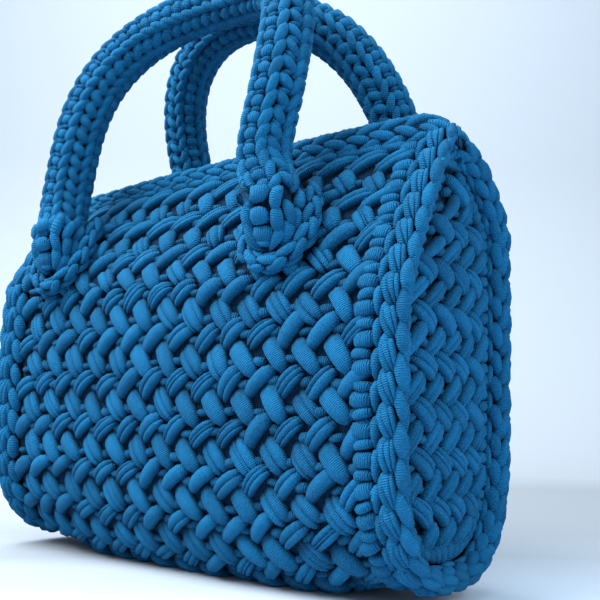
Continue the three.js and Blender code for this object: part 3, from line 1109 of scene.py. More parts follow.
@dataclass
class EndRim:
    """The rim round one end: chains side by side from the strip, over the crest and in to the panel."""

    skin: Skin
    end: End
    width: float = 14.0
    wall: float = 7.0
    proud: float = 1.5
    flare: float = 2.0
    squareness: float = 0.6
    turn: tuple[float, float] = (170.0, -150.0)
    section_points: int = 65
    pitch: float = 12.8
    sink: float = 2.4
    sink_ramp: float = 8.0
    hollow: float = 0.35
    over: float = 6.0
    jitter: float = 0.3
    seed: int = 21
    columns: tuple[ChainColumn, ...] = (
        ChainColumn(across=1.2, lean=9, length=14.0, width=5.6, thick=5.6, height=-1.5, phase=0.0),
        ChainColumn(across=5.3, lean=20, length=11.0, width=4.2, thick=5.0, height=-2.0, phase=0.55),
        ChainColumn(across=9.8, lean=-14, length=15.0, width=7.6, thick=6.2, height=-1.3, phase=0.2,
                    tilt=0.9, taper=0.3, split=3),
        ChainColumn(across=14.4, lean=-5, length=16.0, width=3.8, thick=5.0, height=-1.2, phase=0.75,
                    tilt=-0.5),
        ChainColumn(across=17.6, lean=12, length=15.0, width=5.2, thick=4.8, height=-1.6, phase=0.5,
                    tilt=-0.6),
        ChainColumn(across=21.8, lean=-12, length=14.0, width=5.6, thick=5.0, height=-1.6, phase=0.2),
        ChainColumn(across=25.8, lean=0, length=15.0, width=4.2, thick=4.4, height=-1.6, phase=0.7),
    )

    def sheet(self) -> Sheet:
        """The bar's surface: s from the seam with the strip, over the crest and in to the panel, t along it.

        The section is a flattened ellipse by a power, thinner and turned outwards at its free edge, as the
        solid's is.

        Returns:
            The sheet.
        """
        turn = np.radians(np.linspace(*self.turn, self.section_points))
        c, s = np.cos(turn), np.sin(turn)
        free = np.maximum(c, 0)
        half_thick = (self.wall + self.proud) / 2
        x = self.skin.length / 2 - self.width / 2 + self.width / 2 * bent(c, self.squareness)
        offset = self.proud - half_thick + half_thick * bent(s, self.squareness) * (1 - free / 2)
        grid = self.skin.offset_section(self.end.value * x, offset + self.flare * free)
        return Sheet(grid if self.end is End.RIGHT else grid[::-1])

    def build(self, yarn: bpy.types.Material) -> bpy.types.Object:
        """Knits the rim.

        Args:
            yarn: its finish.

        Returns:
            The piece.
        """
        sheet = self.sheet()
        knit = Knit(self.seed + self.end.value, dark=-3.0, light=1.2)
        row = np.arange(len(sheet.points))
        ramp = np.clip(np.minimum(row, row[::-1]) / self.sink_ramp, 0, 1)[:, None, None]
        solid = sheet.points - sheet.normal * self.sink * ramp
        middle = solid.mean(axis=0, keepdims=True) + 0 * solid
        knit.shell(solid[::2, ::3], mix(middle, solid, self.hollow)[::2, ::3])
        arc = arc_length(sheet.points[:, self.skin.rows // 2])
        if self.end is End.LEFT:
            arc = arc[-1] - arc
        order = np.argsort(arc)
        along = sheet.length()
        count = int(round(along / self.pitch))
        for column in self.columns:
            s0 = np.interp(column.across, arc[order], np.linspace(0, 1, len(arc))[order])
            t = (np.arange(-1, count + 1) + 0.5 + column.phase) / count
            t = t[(t > -self.over / along) & (t < 1 + self.over / along)]
            t = t + knit.rng.normal(0, self.jitter, len(t)) / along
            for strands in column.strands(knit.rng, np.full(len(t), s0), t, self.end.value):
                knit.lay(sheet, strands)
        name = f"end_rim_{self.end.name.lower()}"
        return wear(knit.finish(f"{name}_chain", yarn), name)


@dataclass
class EndPanel:
    """The panel that closes one end: herringbone, plain stitches round it and a few across its top."""

    skin: Skin
    end: End
    inset: float = 6.5
    thickness: float = 7.0
    belly: float = 2.5
    wall: float = 7.0
    gap: float = 0.3
    trim: float = 0.2
    sheet_rows: int = 41
    sheet_columns: int = 90
    sink: float = 4.2
    first_row: float = 12.0
    margin: float = 9.5
    row_margin: float = 6.0
    nub_rises: tuple[float, float] = (0.5, -2.0)
    edge_pitch: float = 6.0
    edge_inset: float = 4.6
    edge_start: float = 6.0
    edge_stop: float = 5.0
    edge_low: float = 1.5
    edge_high: float = 3.0
    edge_room: float = 12.0
    edge_centre: float = 90.0
    edge_turn: float = 0.15
    edge_length: tuple[float, float] = (9.5, 11.5)
    edge_width: tuple[float, float] = (5.4, 7.2)
    top_rows: tuple[float, ...] = (-3.5, 0.0, 3.5)
    top_heights: tuple[float, ...] = (-2.6, -5.6)
    top_drop: float = 2.0
    top_over: float = 8.0
    top_turn: float = 8.0
    top_width: tuple[float, float] = (5.0, 6.0)
    seed: int = 31
    stitch: Herringbone = Herringbone(
        pitch=15.6, pair=20.4, second_row=9.4, right_length=20.5, left_length=19.0, right_angle=49.0,
        left_angle=-37.0, width=7.8, slim=0.78, broad=1.05, left_taper=0.12, height=-3.0,
        odds=(0.15, 0.5, 0.35), left_odds=(0.15, 0.5, 0.35))

    def outline(self) -> np.ndarray:
        """The rim's inner outline at the panel's face, as y and z from the back lip to the front lip."""
        face = np.array([self.end.value * (self.skin.length / 2 - self.inset)])
        return self.skin.offset_section(face, np.array([-self.wall - self.gap]))[0][:, 1:]

    def reach(self) -> tuple[float, float]:
        """The heights of the panel's lower and upper edge."""
        z = self.outline()[:, 1]
        return z.min() + self.trim, z.max() - self.trim

    def spans(self, z: np.ndarray) -> tuple[np.ndarray, np.ndarray]:
        """The panel's back and front edges at given heights.

        Args:
            z: heights.

        Returns:
            The y of the back edge and of the front edge.
        """
        line = self.outline()
        half = len(line) // 2
        back, front = line[: half + 1][::-1], line[half:]
        return np.interp(z, back[:, 1], back[:, 0]), np.interp(z, front[:, 1], front[:, 0])

    def sheet(self) -> Sheet:
        """The outer face: s from one side to the other, t from the bottom up, swollen by a product of sines.

        Returns:
            The sheet.
        """
        low, high = self.reach()
        z = np.linspace(low, high, self.sheet_columns)
        back, front = self.spans(z)
        share = np.linspace(0, 1, self.sheet_rows)
        first, last = (front, back) if self.end is End.RIGHT else (back, front)
        y = mix(first[None, :], last[None, :], share[:, None])
        swell = np.sin(np.pi * share)[:, None] * np.sin(np.pi * (z - low) / (high - low))[None, :]
        x = self.end.value * (self.skin.length / 2 - self.inset + self.belly * swell)
        return Sheet(np.stack([x, y, np.broadcast_to(z, y.shape)], -1))

    def build(self, yarn: bpy.types.Material) -> bpy.types.Object:
        """Knits the panel.

        Args:
            yarn: its finish.

        Returns:
            The piece.
        """
        sheet = self.sheet()
        knit = Knit(self.seed + self.end.value, dark=-3.4, light=1.4)
        out = np.array([self.end.value, 0.0, 0.0])
        face = sheet.points[::2, ::2]
        knit.shell(face - out * self.sink, face - out * self.thickness)
        half = self.stitch.pitch / 2
        places = ((True, 0.0, 0.0), (False, half, -self.stitch.second_row))
        for (leans_right, dy, dz), nub_rise in zip(places, self.nub_rises):
            for strands in self.stitch.lobes(knit.rng, *self.lattice(dy, dz), leans_right):
                knit.lay(sheet, strands)
            knit.lay(sheet, self.stitch.nubs(knit.rng, *self.lattice(dy + half, dz + nub_rise)))
        knit.lay(sheet, self.edge_stitches(knit.rng))
        for strands in self.top_stitches(knit.rng):
            knit.lay(sheet, strands)
        name = f"end_panel_{self.end.name.lower()}"
        return wear(knit.finish(f"{name}_crochet", yarn), name)

    def on_sheet(self, y: np.ndarray, z: np.ndarray) -> tuple[np.ndarray, np.ndarray]:
        """Turns places on the panel into the sheet's own.

        Args:
            y: places across.
            z: heights.

        Returns:
            The places along s and t.
        """
        low, high = self.reach()
        back, front = self.spans(z)
        share = (y - front) / (back - front)
        return share if self.end is End.RIGHT else 1 - share, (z - low) / (high - low)

    def lattice(self, shift_y: float, shift_z: float) -> tuple[np.ndarray, np.ndarray]:
        """Places of one kind of stitch that lie inside the margin.

        Args:
            shift_y: millimetres across from the lattice's own places.
            shift_z: millimetres up from them.

        Returns:
            The places along s and t.
        """
        low, high = self.reach()
        y = shift_y + self.stitch.pitch * np.arange(-6, 7)
        z = low + self.first_row + shift_z + self.stitch.pair * np.arange(12)
        y, z = [g.ravel() for g in np.meshgrid(y, z)]
        back, front = self.spans(z)
        keep = (y < back - self.margin) & (y > front + self.margin)
        keep &= (z > low + self.row_margin) & (z < high - self.row_margin)
        return self.on_sheet(y[keep], z[keep])

    def top_stitches(self, rng: Random) -> list[Strands]:
        """A few broad stitches across the panel's top, between the two arms of the rim, in two layers.

        Args:
            rng: the piece's random numbers.

        Returns:
            One group of strands for each layer.
        """
        low, high = self.reach()
        rows = np.array(self.top_rows)
        n = len(rows)
        back, front = self.spans(np.full(n, high - self.top_drop))
        return [Strands(
            s=np.full(n, 0.5), t=1 + rows / (high - low), angle=np.radians(rng.normal(0, self.top_turn, n)),
            length=back - front + self.top_over, width=rng.uniform(*self.top_width, n), thick=5.2,
            height=height) for height in self.top_heights]

    def edge_stitches(self, rng: Random) -> Strands:
        """Plain stitches that point in from the outline, all the way round.

        Args:
            rng: the piece's random numbers.

        Returns:
            The strands.
        """
        low, high = self.reach()
        line = self.outline()
        arc = arc_length(line)
        at = np.arange(self.edge_start, arc[-1] - self.edge_stop, self.edge_pitch)
        point = np.stack([np.interp(at, arc, line[:, 0]), np.interp(at, arc, line[:, 1])], -1)
        way = unit(np.gradient(point, axis=0))
        inwards = np.stack([-way[:, 1], way[:, 0]], -1)
        to_centre = np.array([0.0, self.edge_centre]) - point
        inwards = inwards * np.sign(np.sum(inwards * to_centre, -1))[:, None]
        point = point + inwards * self.edge_inset
        back, front = self.spans(point[:, 1])
        keep = (point[:, 1] > low + self.edge_low) & (point[:, 1] < high - self.edge_high)
        keep &= back - front > self.edge_room
        point, inwards = point[keep], inwards[keep]
        s, t = self.on_sheet(point[:, 0], point[:, 1])
        n = len(s)
        angle = np.arctan2(inwards[:, 1], inwards[:, 0] * self.end.value)
        return Strands(
            s=np.clip(s, 0.02, 0.98), t=t, angle=angle + rng.normal(0, self.edge_turn, n),
            length=rng.uniform(*self.edge_length, n), width=rng.uniform(*self.edge_width, n), thick=5.4,
            height=-3.2)


def even_path(points: np.ndarray, count: int, steps: int = 24) -> np.ndarray:
    """A smooth curve through points, evenly spaced.

    Each stretch is a cubic whose tangents follow the square roots of the distances to the next points, so the
    curve doesn't overshoot where points lie close together.

    Args:
        points: the points it passes.
        count: how many points to give back.
        steps: how many points are worked out between two that it passes.

    Returns:
        The curve's points, with equal arc length between them.
    """
    p = np.vstack([2 * points[0] - points[1], points, 2 * points[-1] - points[-2]])
    gap = np.maximum(np.linalg.norm(np.diff(p, axis=0), axis=-1) ** 0.5, TINY)
    d0, d1, d2 = gap[:-2, None], gap[1:-1, None], gap[2:, None]
    p0, p1, p2, p3 = p[:-3], p[1:-2], p[2:-1], p[3:]
    t1 = ((p1 - p0) / d0 - (p2 - p0) / (d0 + d1) + (p2 - p1) / d1) * d1
    t2 = ((p2 - p1) / d1 - (p3 - p1) / (d1 + d2) + (p3 - p2) / d2) * d1
    u = np.linspace(0, 1, steps, endpoint=False)[None, :, None]
    a, b = p1[:, None], p2[:, None]
    m, k = t1[:, None], t2[:, None]
    curve = (a + m * u + (3 * (b - a) - 2 * m - k) * u**2 + (2 * (a - b) + m + k) * u**3).reshape(-1, 3)
    curve = np.vstack([curve, points[-1]])
    arc = arc_length(curve)
    even = np.linspace(0, arc[-1], count)
    return np.stack([np.interp(even, arc, curve[:, k]) for k in range(3)], -1)


def round_bar(points: np.ndarray, out: np.ndarray, half_width: Numbers, half_height: Numbers,
              around: int = 24) -> Sheet:
    """The surface of an oval bar along a line.

    Args:
        points: the line, roughly evenly spaced.
        out: which way the bar's top faces at each point.
        half_width: half its size across the line.
        half_height: half its size along out.
        around: how many points go round it.

    Returns:
        A closed sheet, s round the bar from its top, t along it.
    """
    along = unit(np.gradient(points, axis=0))
    across = unit(np.cross(along, out))
    up = unit(np.cross(across, along))
    turn = np.pi / 2 - np.arange(around) / around * 2 * np.pi
    width, height = half_width * np.cos(turn)[:, None], half_height * np.sin(turn)[:, None]
    return Sheet(points[None] + across[None] * width[..., None] + up[None] * height[..., None], closed=True)


@dataclass(frozen=True)
class Chain:
    """Chain stitches that cover a bar: rows of strands that lean left and right in turn.

    Lengths are millimetres, lean is degrees, and the two phases are shares of the pitch.
    """

    pitch: float
    rows: int
    length: float
    height: float
    width: float = 5.0
    thick: float = 4.4
    lean: float = 17.0
    lean_spread: float = 4.0
    size_range: tuple[float, float] = (0.93, 1.07)
    phases: tuple[float, float] = (0.1, 0.5)

    def lay(self, knit: Knit, bar: Sheet) -> None:
        """Lays the rows round the bar, none of them past its ends.

        Args:
            knit: the piece.
            bar: the bar's surface.
        """
        total = bar.length()
        count = max(int(round(total / self.pitch)), 2)
        margin = 0.5 * self.length / total
        for row in range(self.rows):
            t = np.clip((np.arange(count) + self.phases[row % 2]) / count, margin, 1 - margin)
            n = len(t)
            lean = self.lean if row % 2 else -self.lean
            knit.lay(bar, Strands(
                s=np.full(n, row / self.rows), t=t,
                angle=np.radians(90 + lean + knit.rng.normal(0, self.lean_spread, n)),
                length=self.length * knit.rng.uniform(*self.size_range, n),
                width=self.width * knit.rng.uniform(*self.size_range, n),
                thick=self.thick, height=self.height, lift=0.6, tilt=0.35, taper=0.12, blunt=3.5))


@dataclass(frozen=True)
class Arch:
    """How one handle's arch goes, as in the solids.

    Spread, shift and sway are shares of half the distance between the tabs: how wide the legs stand, how far
    the whole is moved along the bag, and how far its top is. Out is a share of half the depth at the legs'
    feet. Curl, side and top are the powers of the inward lean, of the legs and of the crown.
    """

    spread: float
    shift: float
    sway: float
    out: float
    curl: float
    side: float
    top: float


FRONT_ARCH = Arch(spread=0.958, shift=-0.063, sway=0.231, out=0.915, curl=3, side=0.754, top=0.575)
BACK_ARCH = Arch(spread=1.016, shift=-0.015, sway=-0.235, out=1.06, curl=1.1, side=1.02, top=0.628)


@dataclass(frozen=True)
class TabColumn:
    """A column of stitches up a tab, at a share of the way round the tube from its outer middle.

    First and step are millimetres from the tip, lean is degrees, and length and width are a stitch's size.
    """

    around: float
    first: float
    step: float
    lean: float
    length: float
    width: float


@dataclass
class Handle:
    """A padded crocheted tube whose two ends flatten into tabs, with a chain border round each tab."""

    skin: Skin
    side: Side
    left_margin: float
    right_margin: float
    rise: float
    arch: Arch
    height: float = 210.5
    diameter: float = 26.0
    clearance: float = 5.0
    spring_drop: float = 18.0
    tab_thickness: float = 10.0
    tab_drop: float = 71.0
    flatten: float = 24.0
    seat_gap: float = 1.12
    seat_points: int = 6
    arch_points: int = 9
    path_points: int = 400
    around: int = 48
    core: float = 0.68
    rows: int = 6
    pitch: float = 7.6
    row_shift: float = 0.37
    row_start: float = 23.5
    ridge: Stitch = Stitch(
        angle=70, spread=5, length=(12.0, 14.0), width=(4.8, 5.8), thick=5.6, height=-2.9, lift=0.8, tilt=0.5,
        taper=0.1, blunt=3.5)
    knob: Stitch = Stitch(
        angle=0, spread=7, length=(8.2, 9.4), width=(5.4, 6.2), thick=5.2, height=-3.2, lift=0.9, rings=6)
    lobe: Stitch = Stitch(
        angle=-34, spread=7, length=(10.0, 12.0), width=(5.4, 6.2), thick=5.2, height=-3.2, lift=0.9, rings=6)
    filler: Stitch = Stitch(
        angle=0, spread=12, length=(7.0, 8.5), width=(2.6, 3.6), thick=5.0, height=-3.9, lift=0.9, rings=6,
        sides=6)
    width_floor: float = 0.04
    thick_floor: float = 0.08
    tab_run: float = 25.0
    tab_turn: float = 5.0
    tab_length_range: tuple[float, float] = (0.94, 1.06)
    tab_width_range: tuple[float, float] = (0.92, 1.08)
    tab_columns: tuple[TabColumn, ...] = (
        TabColumn(around=0.0, first=7.0, step=8.0, lean=2.0, length=11.5, width=8.6),
        TabColumn(around=0.0, first=3.2, step=60.0, lean=0.0, length=9.0, width=4.0),
        TabColumn(around=-0.115, first=7.5, step=8.4, lean=97.0, length=13.0, width=6.0),
        TabColumn(around=0.115, first=4.8, step=8.4, lean=83.0, length=13.0, width=6.0),
        TabColumn(around=-0.2, first=6.0, step=8.6, lean=84.0, length=13.0, width=5.6),
        TabColumn(around=0.2, first=8.0, step=8.6, lean=96.0, length=13.0, width=5.6),
        TabColumn(around=-0.29, first=6.0, step=9.0, lean=90.0, length=13.0, width=5.6),
        TabColumn(around=0.29, first=6.0, step=9.0, lean=90.0, length=13.0, width=5.6),
        TabColumn(around=-0.38, first=6.0, step=9.5, lean=90.0, length=13.0, width=6.0),
        TabColumn(around=0.38, first=6.0, step=9.5, lean=90.0, length=13.0, width=6.0),
        TabColumn(around=0.5, first=6.0, step=9.5, lean=90.0, length=13.0, width=6.0),
    )
    border: float = 8.0
    border_top: float = 24.0
    border_points: int = 45
    border_route: int = 161
    border_step: float = 0.25
    border_rounds: int = 4
    border_core: float = 0.55
    border_chain: Chain = Chain(pitch=10.5, rows=5, length=12.5, height=-1.6)
    gap: float = 0.7
    seed: int = 41
    border_seed: int = 61

    @property
    def radius(self) -> float:
        """Half the tube's diameter, and half a tab's width."""
        return self.diameter / 2

    @property
    def reach(self) -> float:
        """How far the border's centre-line lies from the middle of the tab's round end."""
        return self.radius + self.gap + self.border / 2

    @property
    def tab_centre(self) -> float:
        """How far below the lip the middle of the tab's round end lies."""
        return self.tab_drop - self.border / 2 - self.reach

    def tab_x(self, leg: End) -> float:
        """The middle of one tab along the bag."""
        margin = self.left_margin if leg is End.LEFT else self.right_margin
        return leg.value * (self.skin.length / 2 - margin)

    def leg(self, sheet: Sheet, leg: End) -> np.ndarray:
        """Points of one leg's centre-line, from the tab's tip up to the top of the arch.

        The first few seat on the strip, each half the tube's thickness off it. The arch is a superellipse in
        the width and the height, and it leans inwards by a power of its height.

        Args:
            sheet: the strip's surface.
            leg: which leg.

        Returns:
            The points.
        """
        share = np.linspace(0, 1, self.seat_points)
        thick = mix(self.tab_thickness, self.diameter, smooth(share))
        drop = self.tab_centre + self.radius - self.flatten * share
        x = np.full(self.seat_points, self.tab_x(leg))
        low, _ = self.skin.seat(sheet, self.side, x, drop, thick / 2 + self.seat_gap)
        right, left = self.tab_x(End.RIGHT), self.tab_x(End.LEFT)
        half = (right - left) / 2
        middle = (right + left) / 2 + self.arch.shift * half
        turn = np.linspace(0, np.pi / 2, self.arch_points + 1)
        up = np.sin(turn) ** self.arch.top
        reach = np.clip(np.cos(turn), 0, 1) ** self.arch.side
        reach[-1] = 0.0
        inner = self.radius + self.clearance / 2
        high = np.stack([
            middle + half * (leg.value * self.arch.spread * reach + self.arch.sway * up),
            self.side.value * mix(self.arch.out * self.skin.depth / 2, inner, up**self.arch.curl),
            self.height - self.spring_drop + self.rise * up], -1)
        return np.vstack([low, high])

    def path(self, sheet: Sheet, count: int) -> np.ndarray:
        """The whole centre-line, from the right tab's tip to the left tab's."""
        right, left = self.leg(sheet, End.RIGHT), self.leg(sheet, End.LEFT)
        return even_path(np.vstack([right, left[:-1][::-1]]), count)

    def tube(self, sheet: Sheet) -> tuple[Sheet, float]:
        """The tube's surface, flattened towards both ends.

        The section's two half sizes are the radius and half the thickness that the ease from tab to tube
        gives. Both close in at the tip as the square root of one less a power of what is left.

        Args:
            sheet: the strip's surface.

        Returns:
            A closed sheet, s round the tube and t along it, and the tube's length.
        """
        path = self.path(sheet, self.path_points)
        total = float(arc_length(path)[-1])
        share = np.linspace(0, 1, len(path))
        nearest = np.minimum(share, 1 - share) * total
        right, drop = np.array([self.tab_x(End.RIGHT)]), np.array([self.tab_centre])
        _, flat = self.skin.seat(sheet, self.side, right, drop, np.zeros(1))
        ease = smooth(nearest / self.flatten / 2 - 0.5)[:, None]
        facing = mix(flat, np.array([[0.0, self.side.value, 0.0]]), ease)
        short = np.clip(1 - nearest / self.radius, 0, 1)
        width = self.radius * np.sqrt(np.maximum(1 - short**2, self.width_floor))
        thick = mix(self.tab_thickness, self.diameter, smooth(nearest / self.flatten)) / 2
        thick = thick * np.sqrt(np.maximum(1 - short**4, self.thick_floor))
        return round_bar(path, facing, width, thick, self.around), total

    def build(self, sheet: Sheet, yarn: bpy.types.Material) -> bpy.types.Object:
        """Knits the handle: ridges of slanted strands, and between them rows of knobs and of leaning lobes.

        Args:
            sheet: the strip's surface.
            yarn: its finish.

        Returns:
            The piece.
        """
        tube, total = self.tube(sheet)
        knit = Knit(self.seed + self.side.value)
        rng = knit.rng
        knit.tube(Sheet(tube.points[::3, ::4], closed=True), self.core)
        count = int(round(total / self.pitch))
        for row in range(self.rows):
            t = (np.arange(count) + 0.5 + self.row_shift * row) / count
            t = t[np.minimum(t, 1 - t) * total > self.row_start]
            between = self.lobe if row % 2 else self.knob
            knit.lay(tube, self.ridge.strands(rng, (row + 0.5) / self.rows, t))
            knit.lay(tube, between.strands(rng, row / self.rows, t))
            knit.lay(tube, self.filler.strands(rng, row / self.rows, t + 0.5 / count))
        for strands in self.tab_stitches(rng, total):
            knit.lay(tube, strands)
        name = f"handle_{self.side.name.lower()}"
        piece = wear(knit.finish(f"{name}_crochet", yarn), name)
        return piece

    def tab_stitches(self, rng: Random, total: float) -> list[Strands]:
        """The stitches of both tabs: a middle column of fat nubs, and long loops beside and behind it.

        Args:
            rng: the piece's random numbers.
            total: the tube's length.

        Returns:
            One group of strands for each column of each tab.
        """
        groups = []
        for leg in (End.RIGHT, End.LEFT):
            for column in self.tab_columns:
                t = np.arange(column.first, self.tab_run, column.step) / total
                n = len(t)
                groups.append(Strands(
                    s=np.full(n, column.around), t=t if leg is End.RIGHT else 1 - t,
                    angle=np.radians(column.lean + rng.normal(0, self.tab_turn, n)),
                    length=column.length * rng.uniform(*self.tab_length_range, n),
                    width=column.width * rng.uniform(*self.tab_width_range, n), thick=6.0, height=-1.9,
                    blunt=3.5))
        return groups

    def border_line(self, sheet: Sheet, leg: End) -> tuple[np.ndarray, np.ndarray]:
        """The border's centre-line, a U on the strip round the tab.

        Beside the rising handle, each of the U's legs comes as close in as the handle's round section allows,
        and the step from one place to the next is smoothed by taking means of neighbours.

        Args:
            sheet: the strip's surface.
            leg: whose tab.

        Returns:
            The points, and the directions out of the strip.
        """
        rest = self.border / 2 + self.gap
        x = self.tab_x(leg)
        route = self.path(sheet, self.border_route)
        straight = self.tab_centre - self.border_top
        total = 2 * straight + np.pi * self.reach
        along = np.linspace(0, total, self.border_points)
        turn = np.clip((along - straight) / self.reach, 0, np.pi)
        climb = np.maximum(np.maximum(straight - along, along - straight - np.pi * self.reach), 0)
        drop = self.tab_centre + self.reach * np.sin(turn) - climb
        steps = np.append(np.arange(rest, self.reach, self.border_step), self.reach)
        sign = -np.sign(np.cos(turn))
        many = (x + sign[:, None] * steps[None, :]).ravel()
        deep, off = np.repeat(drop, len(steps)), np.full(many.size, rest)
        point, _ = self.skin.seat(sheet, self.side, many, deep, off)
        room = np.linalg.norm(point[:, None] - route[None], axis=-1).min(axis=1).reshape(len(drop), -1)
        free = room >= self.reach
        free[:, -1] = True
        best = steps[np.argmax(free, axis=1)]
        across = np.where(climb > 0, sign * best, -self.reach * np.cos(turn))
        for _ in range(self.border_rounds):
            across[1:-1] = (across[:-2] + across[1:-1] + across[2:]) / 3
        return self.skin.seat(sheet, self.side, x + across, drop, np.full(len(drop), rest))

    def build_border(self, sheet: Sheet, leg: End, yarn: bpy.types.Material) -> bpy.types.Object:
        """Knits one tab's chain border.

        Args:
            sheet: the strip's surface.
            leg: whose tab.
            yarn: its finish.

        Returns:
            The piece.
        """
        points, out = self.border_line(sheet, leg)
        rope = round_bar(points, out, self.border / 2, self.border / 2)
        knit = Knit(self.border_seed + 2 * self.side.value + leg.value)
        knit.tube(Sheet(rope.points[::2], closed=True), self.border_core)
        self.border_chain.lay(knit, rope)
        name = f"tab_border_{self.side.name.lower()}_{leg.name.lower()}"
        return wear(knit.finish(f"{name}_chain", yarn), name)


@dataclass
class MouthEdge:
    """The braided chain along one lip of the mouth, which rises to the right and tucks in at both ends."""

    skin: Skin
    side: Side
    seat: float
    width: float = 8.5
    height: float = 8.0
    inset: float = 1.5
    gap: float = 0.3
    sit: float = 1.5
    right_rise: float = 4.5
    right_run: float = 150.0
    left_drop: float = 1.5
    left_run: float = 70.0
    level_x: float = -30.0
    tuck_run: float = 12.0
    tuck_drop: float = 7.0
    tuck_in: float = 0.45
    points: int = 90
    core: float = 0.7
    chain: Chain = Chain(pitch=12.5, rows=8, length=15.0, height=-2.2)
    seed: int = 51

    def build(self, yarn: bpy.types.Material) -> bpy.types.Object:
        """Knits the edge along the lip's bow and drop.

        Args:
            yarn: its finish.

        Returns:
            The piece.
        """
        end = self.skin.length / 2 - self.inset
        x = np.linspace(-end, end, self.points)
        lip = self.skin.half(self.side, x)[:, -1]
        rise = self.right_rise * smooth((x - self.level_x) / self.right_run)
        rise = rise - self.left_drop * smooth((self.level_x - x) / self.left_run)
        tuck = smooth((np.abs(x) - end + self.tuck_run) / self.tuck_run)
        y = (lip[:, 0] - self.side.value * self.seat) * (1 - self.tuck_in * tuck)
        z = lip[:, 1] + self.gap + self.height / 2 + rise / 2 - self.tuck_drop * tuck - self.sit
        line = even_path(np.stack([x, y, z], -1), len(x))
        half_height = self.height / 2 + self.sit + np.interp(line[:, 0], x, rise) / 2
        bar = round_bar(line, np.broadcast_to([0.0, 0.0, 1.0], line.shape), self.width / 2, half_height)
        knit = Knit(self.seed + self.side.value)
        knit.tube(Sheet(bar.points[::2, ::2], closed=True), self.core)
        self.chain.lay(knit, bar)
        name = f"mouth_edge_{self.side.name.lower()}"
        return wear(knit.finish(f"{name}_chain", yarn), name)


@dataclass(frozen=True)
class Lamp:
    """A square soft light that faces a point. Lengths are millimetres, and power is watts."""

    name: str
    place: tuple[float, float, float]
    target: tuple[float, float, float]
    size: float
    power: float
    colour: tuple[float, float, float]

    def hang(self) -> None:
        """Makes the light and turns it to its target."""
        lamp = bpy.data.lights.new(self.name, "AREA")
        lamp.size = self.size * MM
        lamp.energy = self.power
        lamp.color = self.colour
        stand = bpy.data.objects.new(self.name, lamp)
        bpy.context.scene.collection.objects.link(stand)
        where, aim = Vector(self.place) * MM, Vector(self.target) * MM
        turn = (aim - where).to_track_quat("-Z", "Y").to_matrix().to_4x4()
        stand.matrix_world = Matrix.Translation(where) @ turn


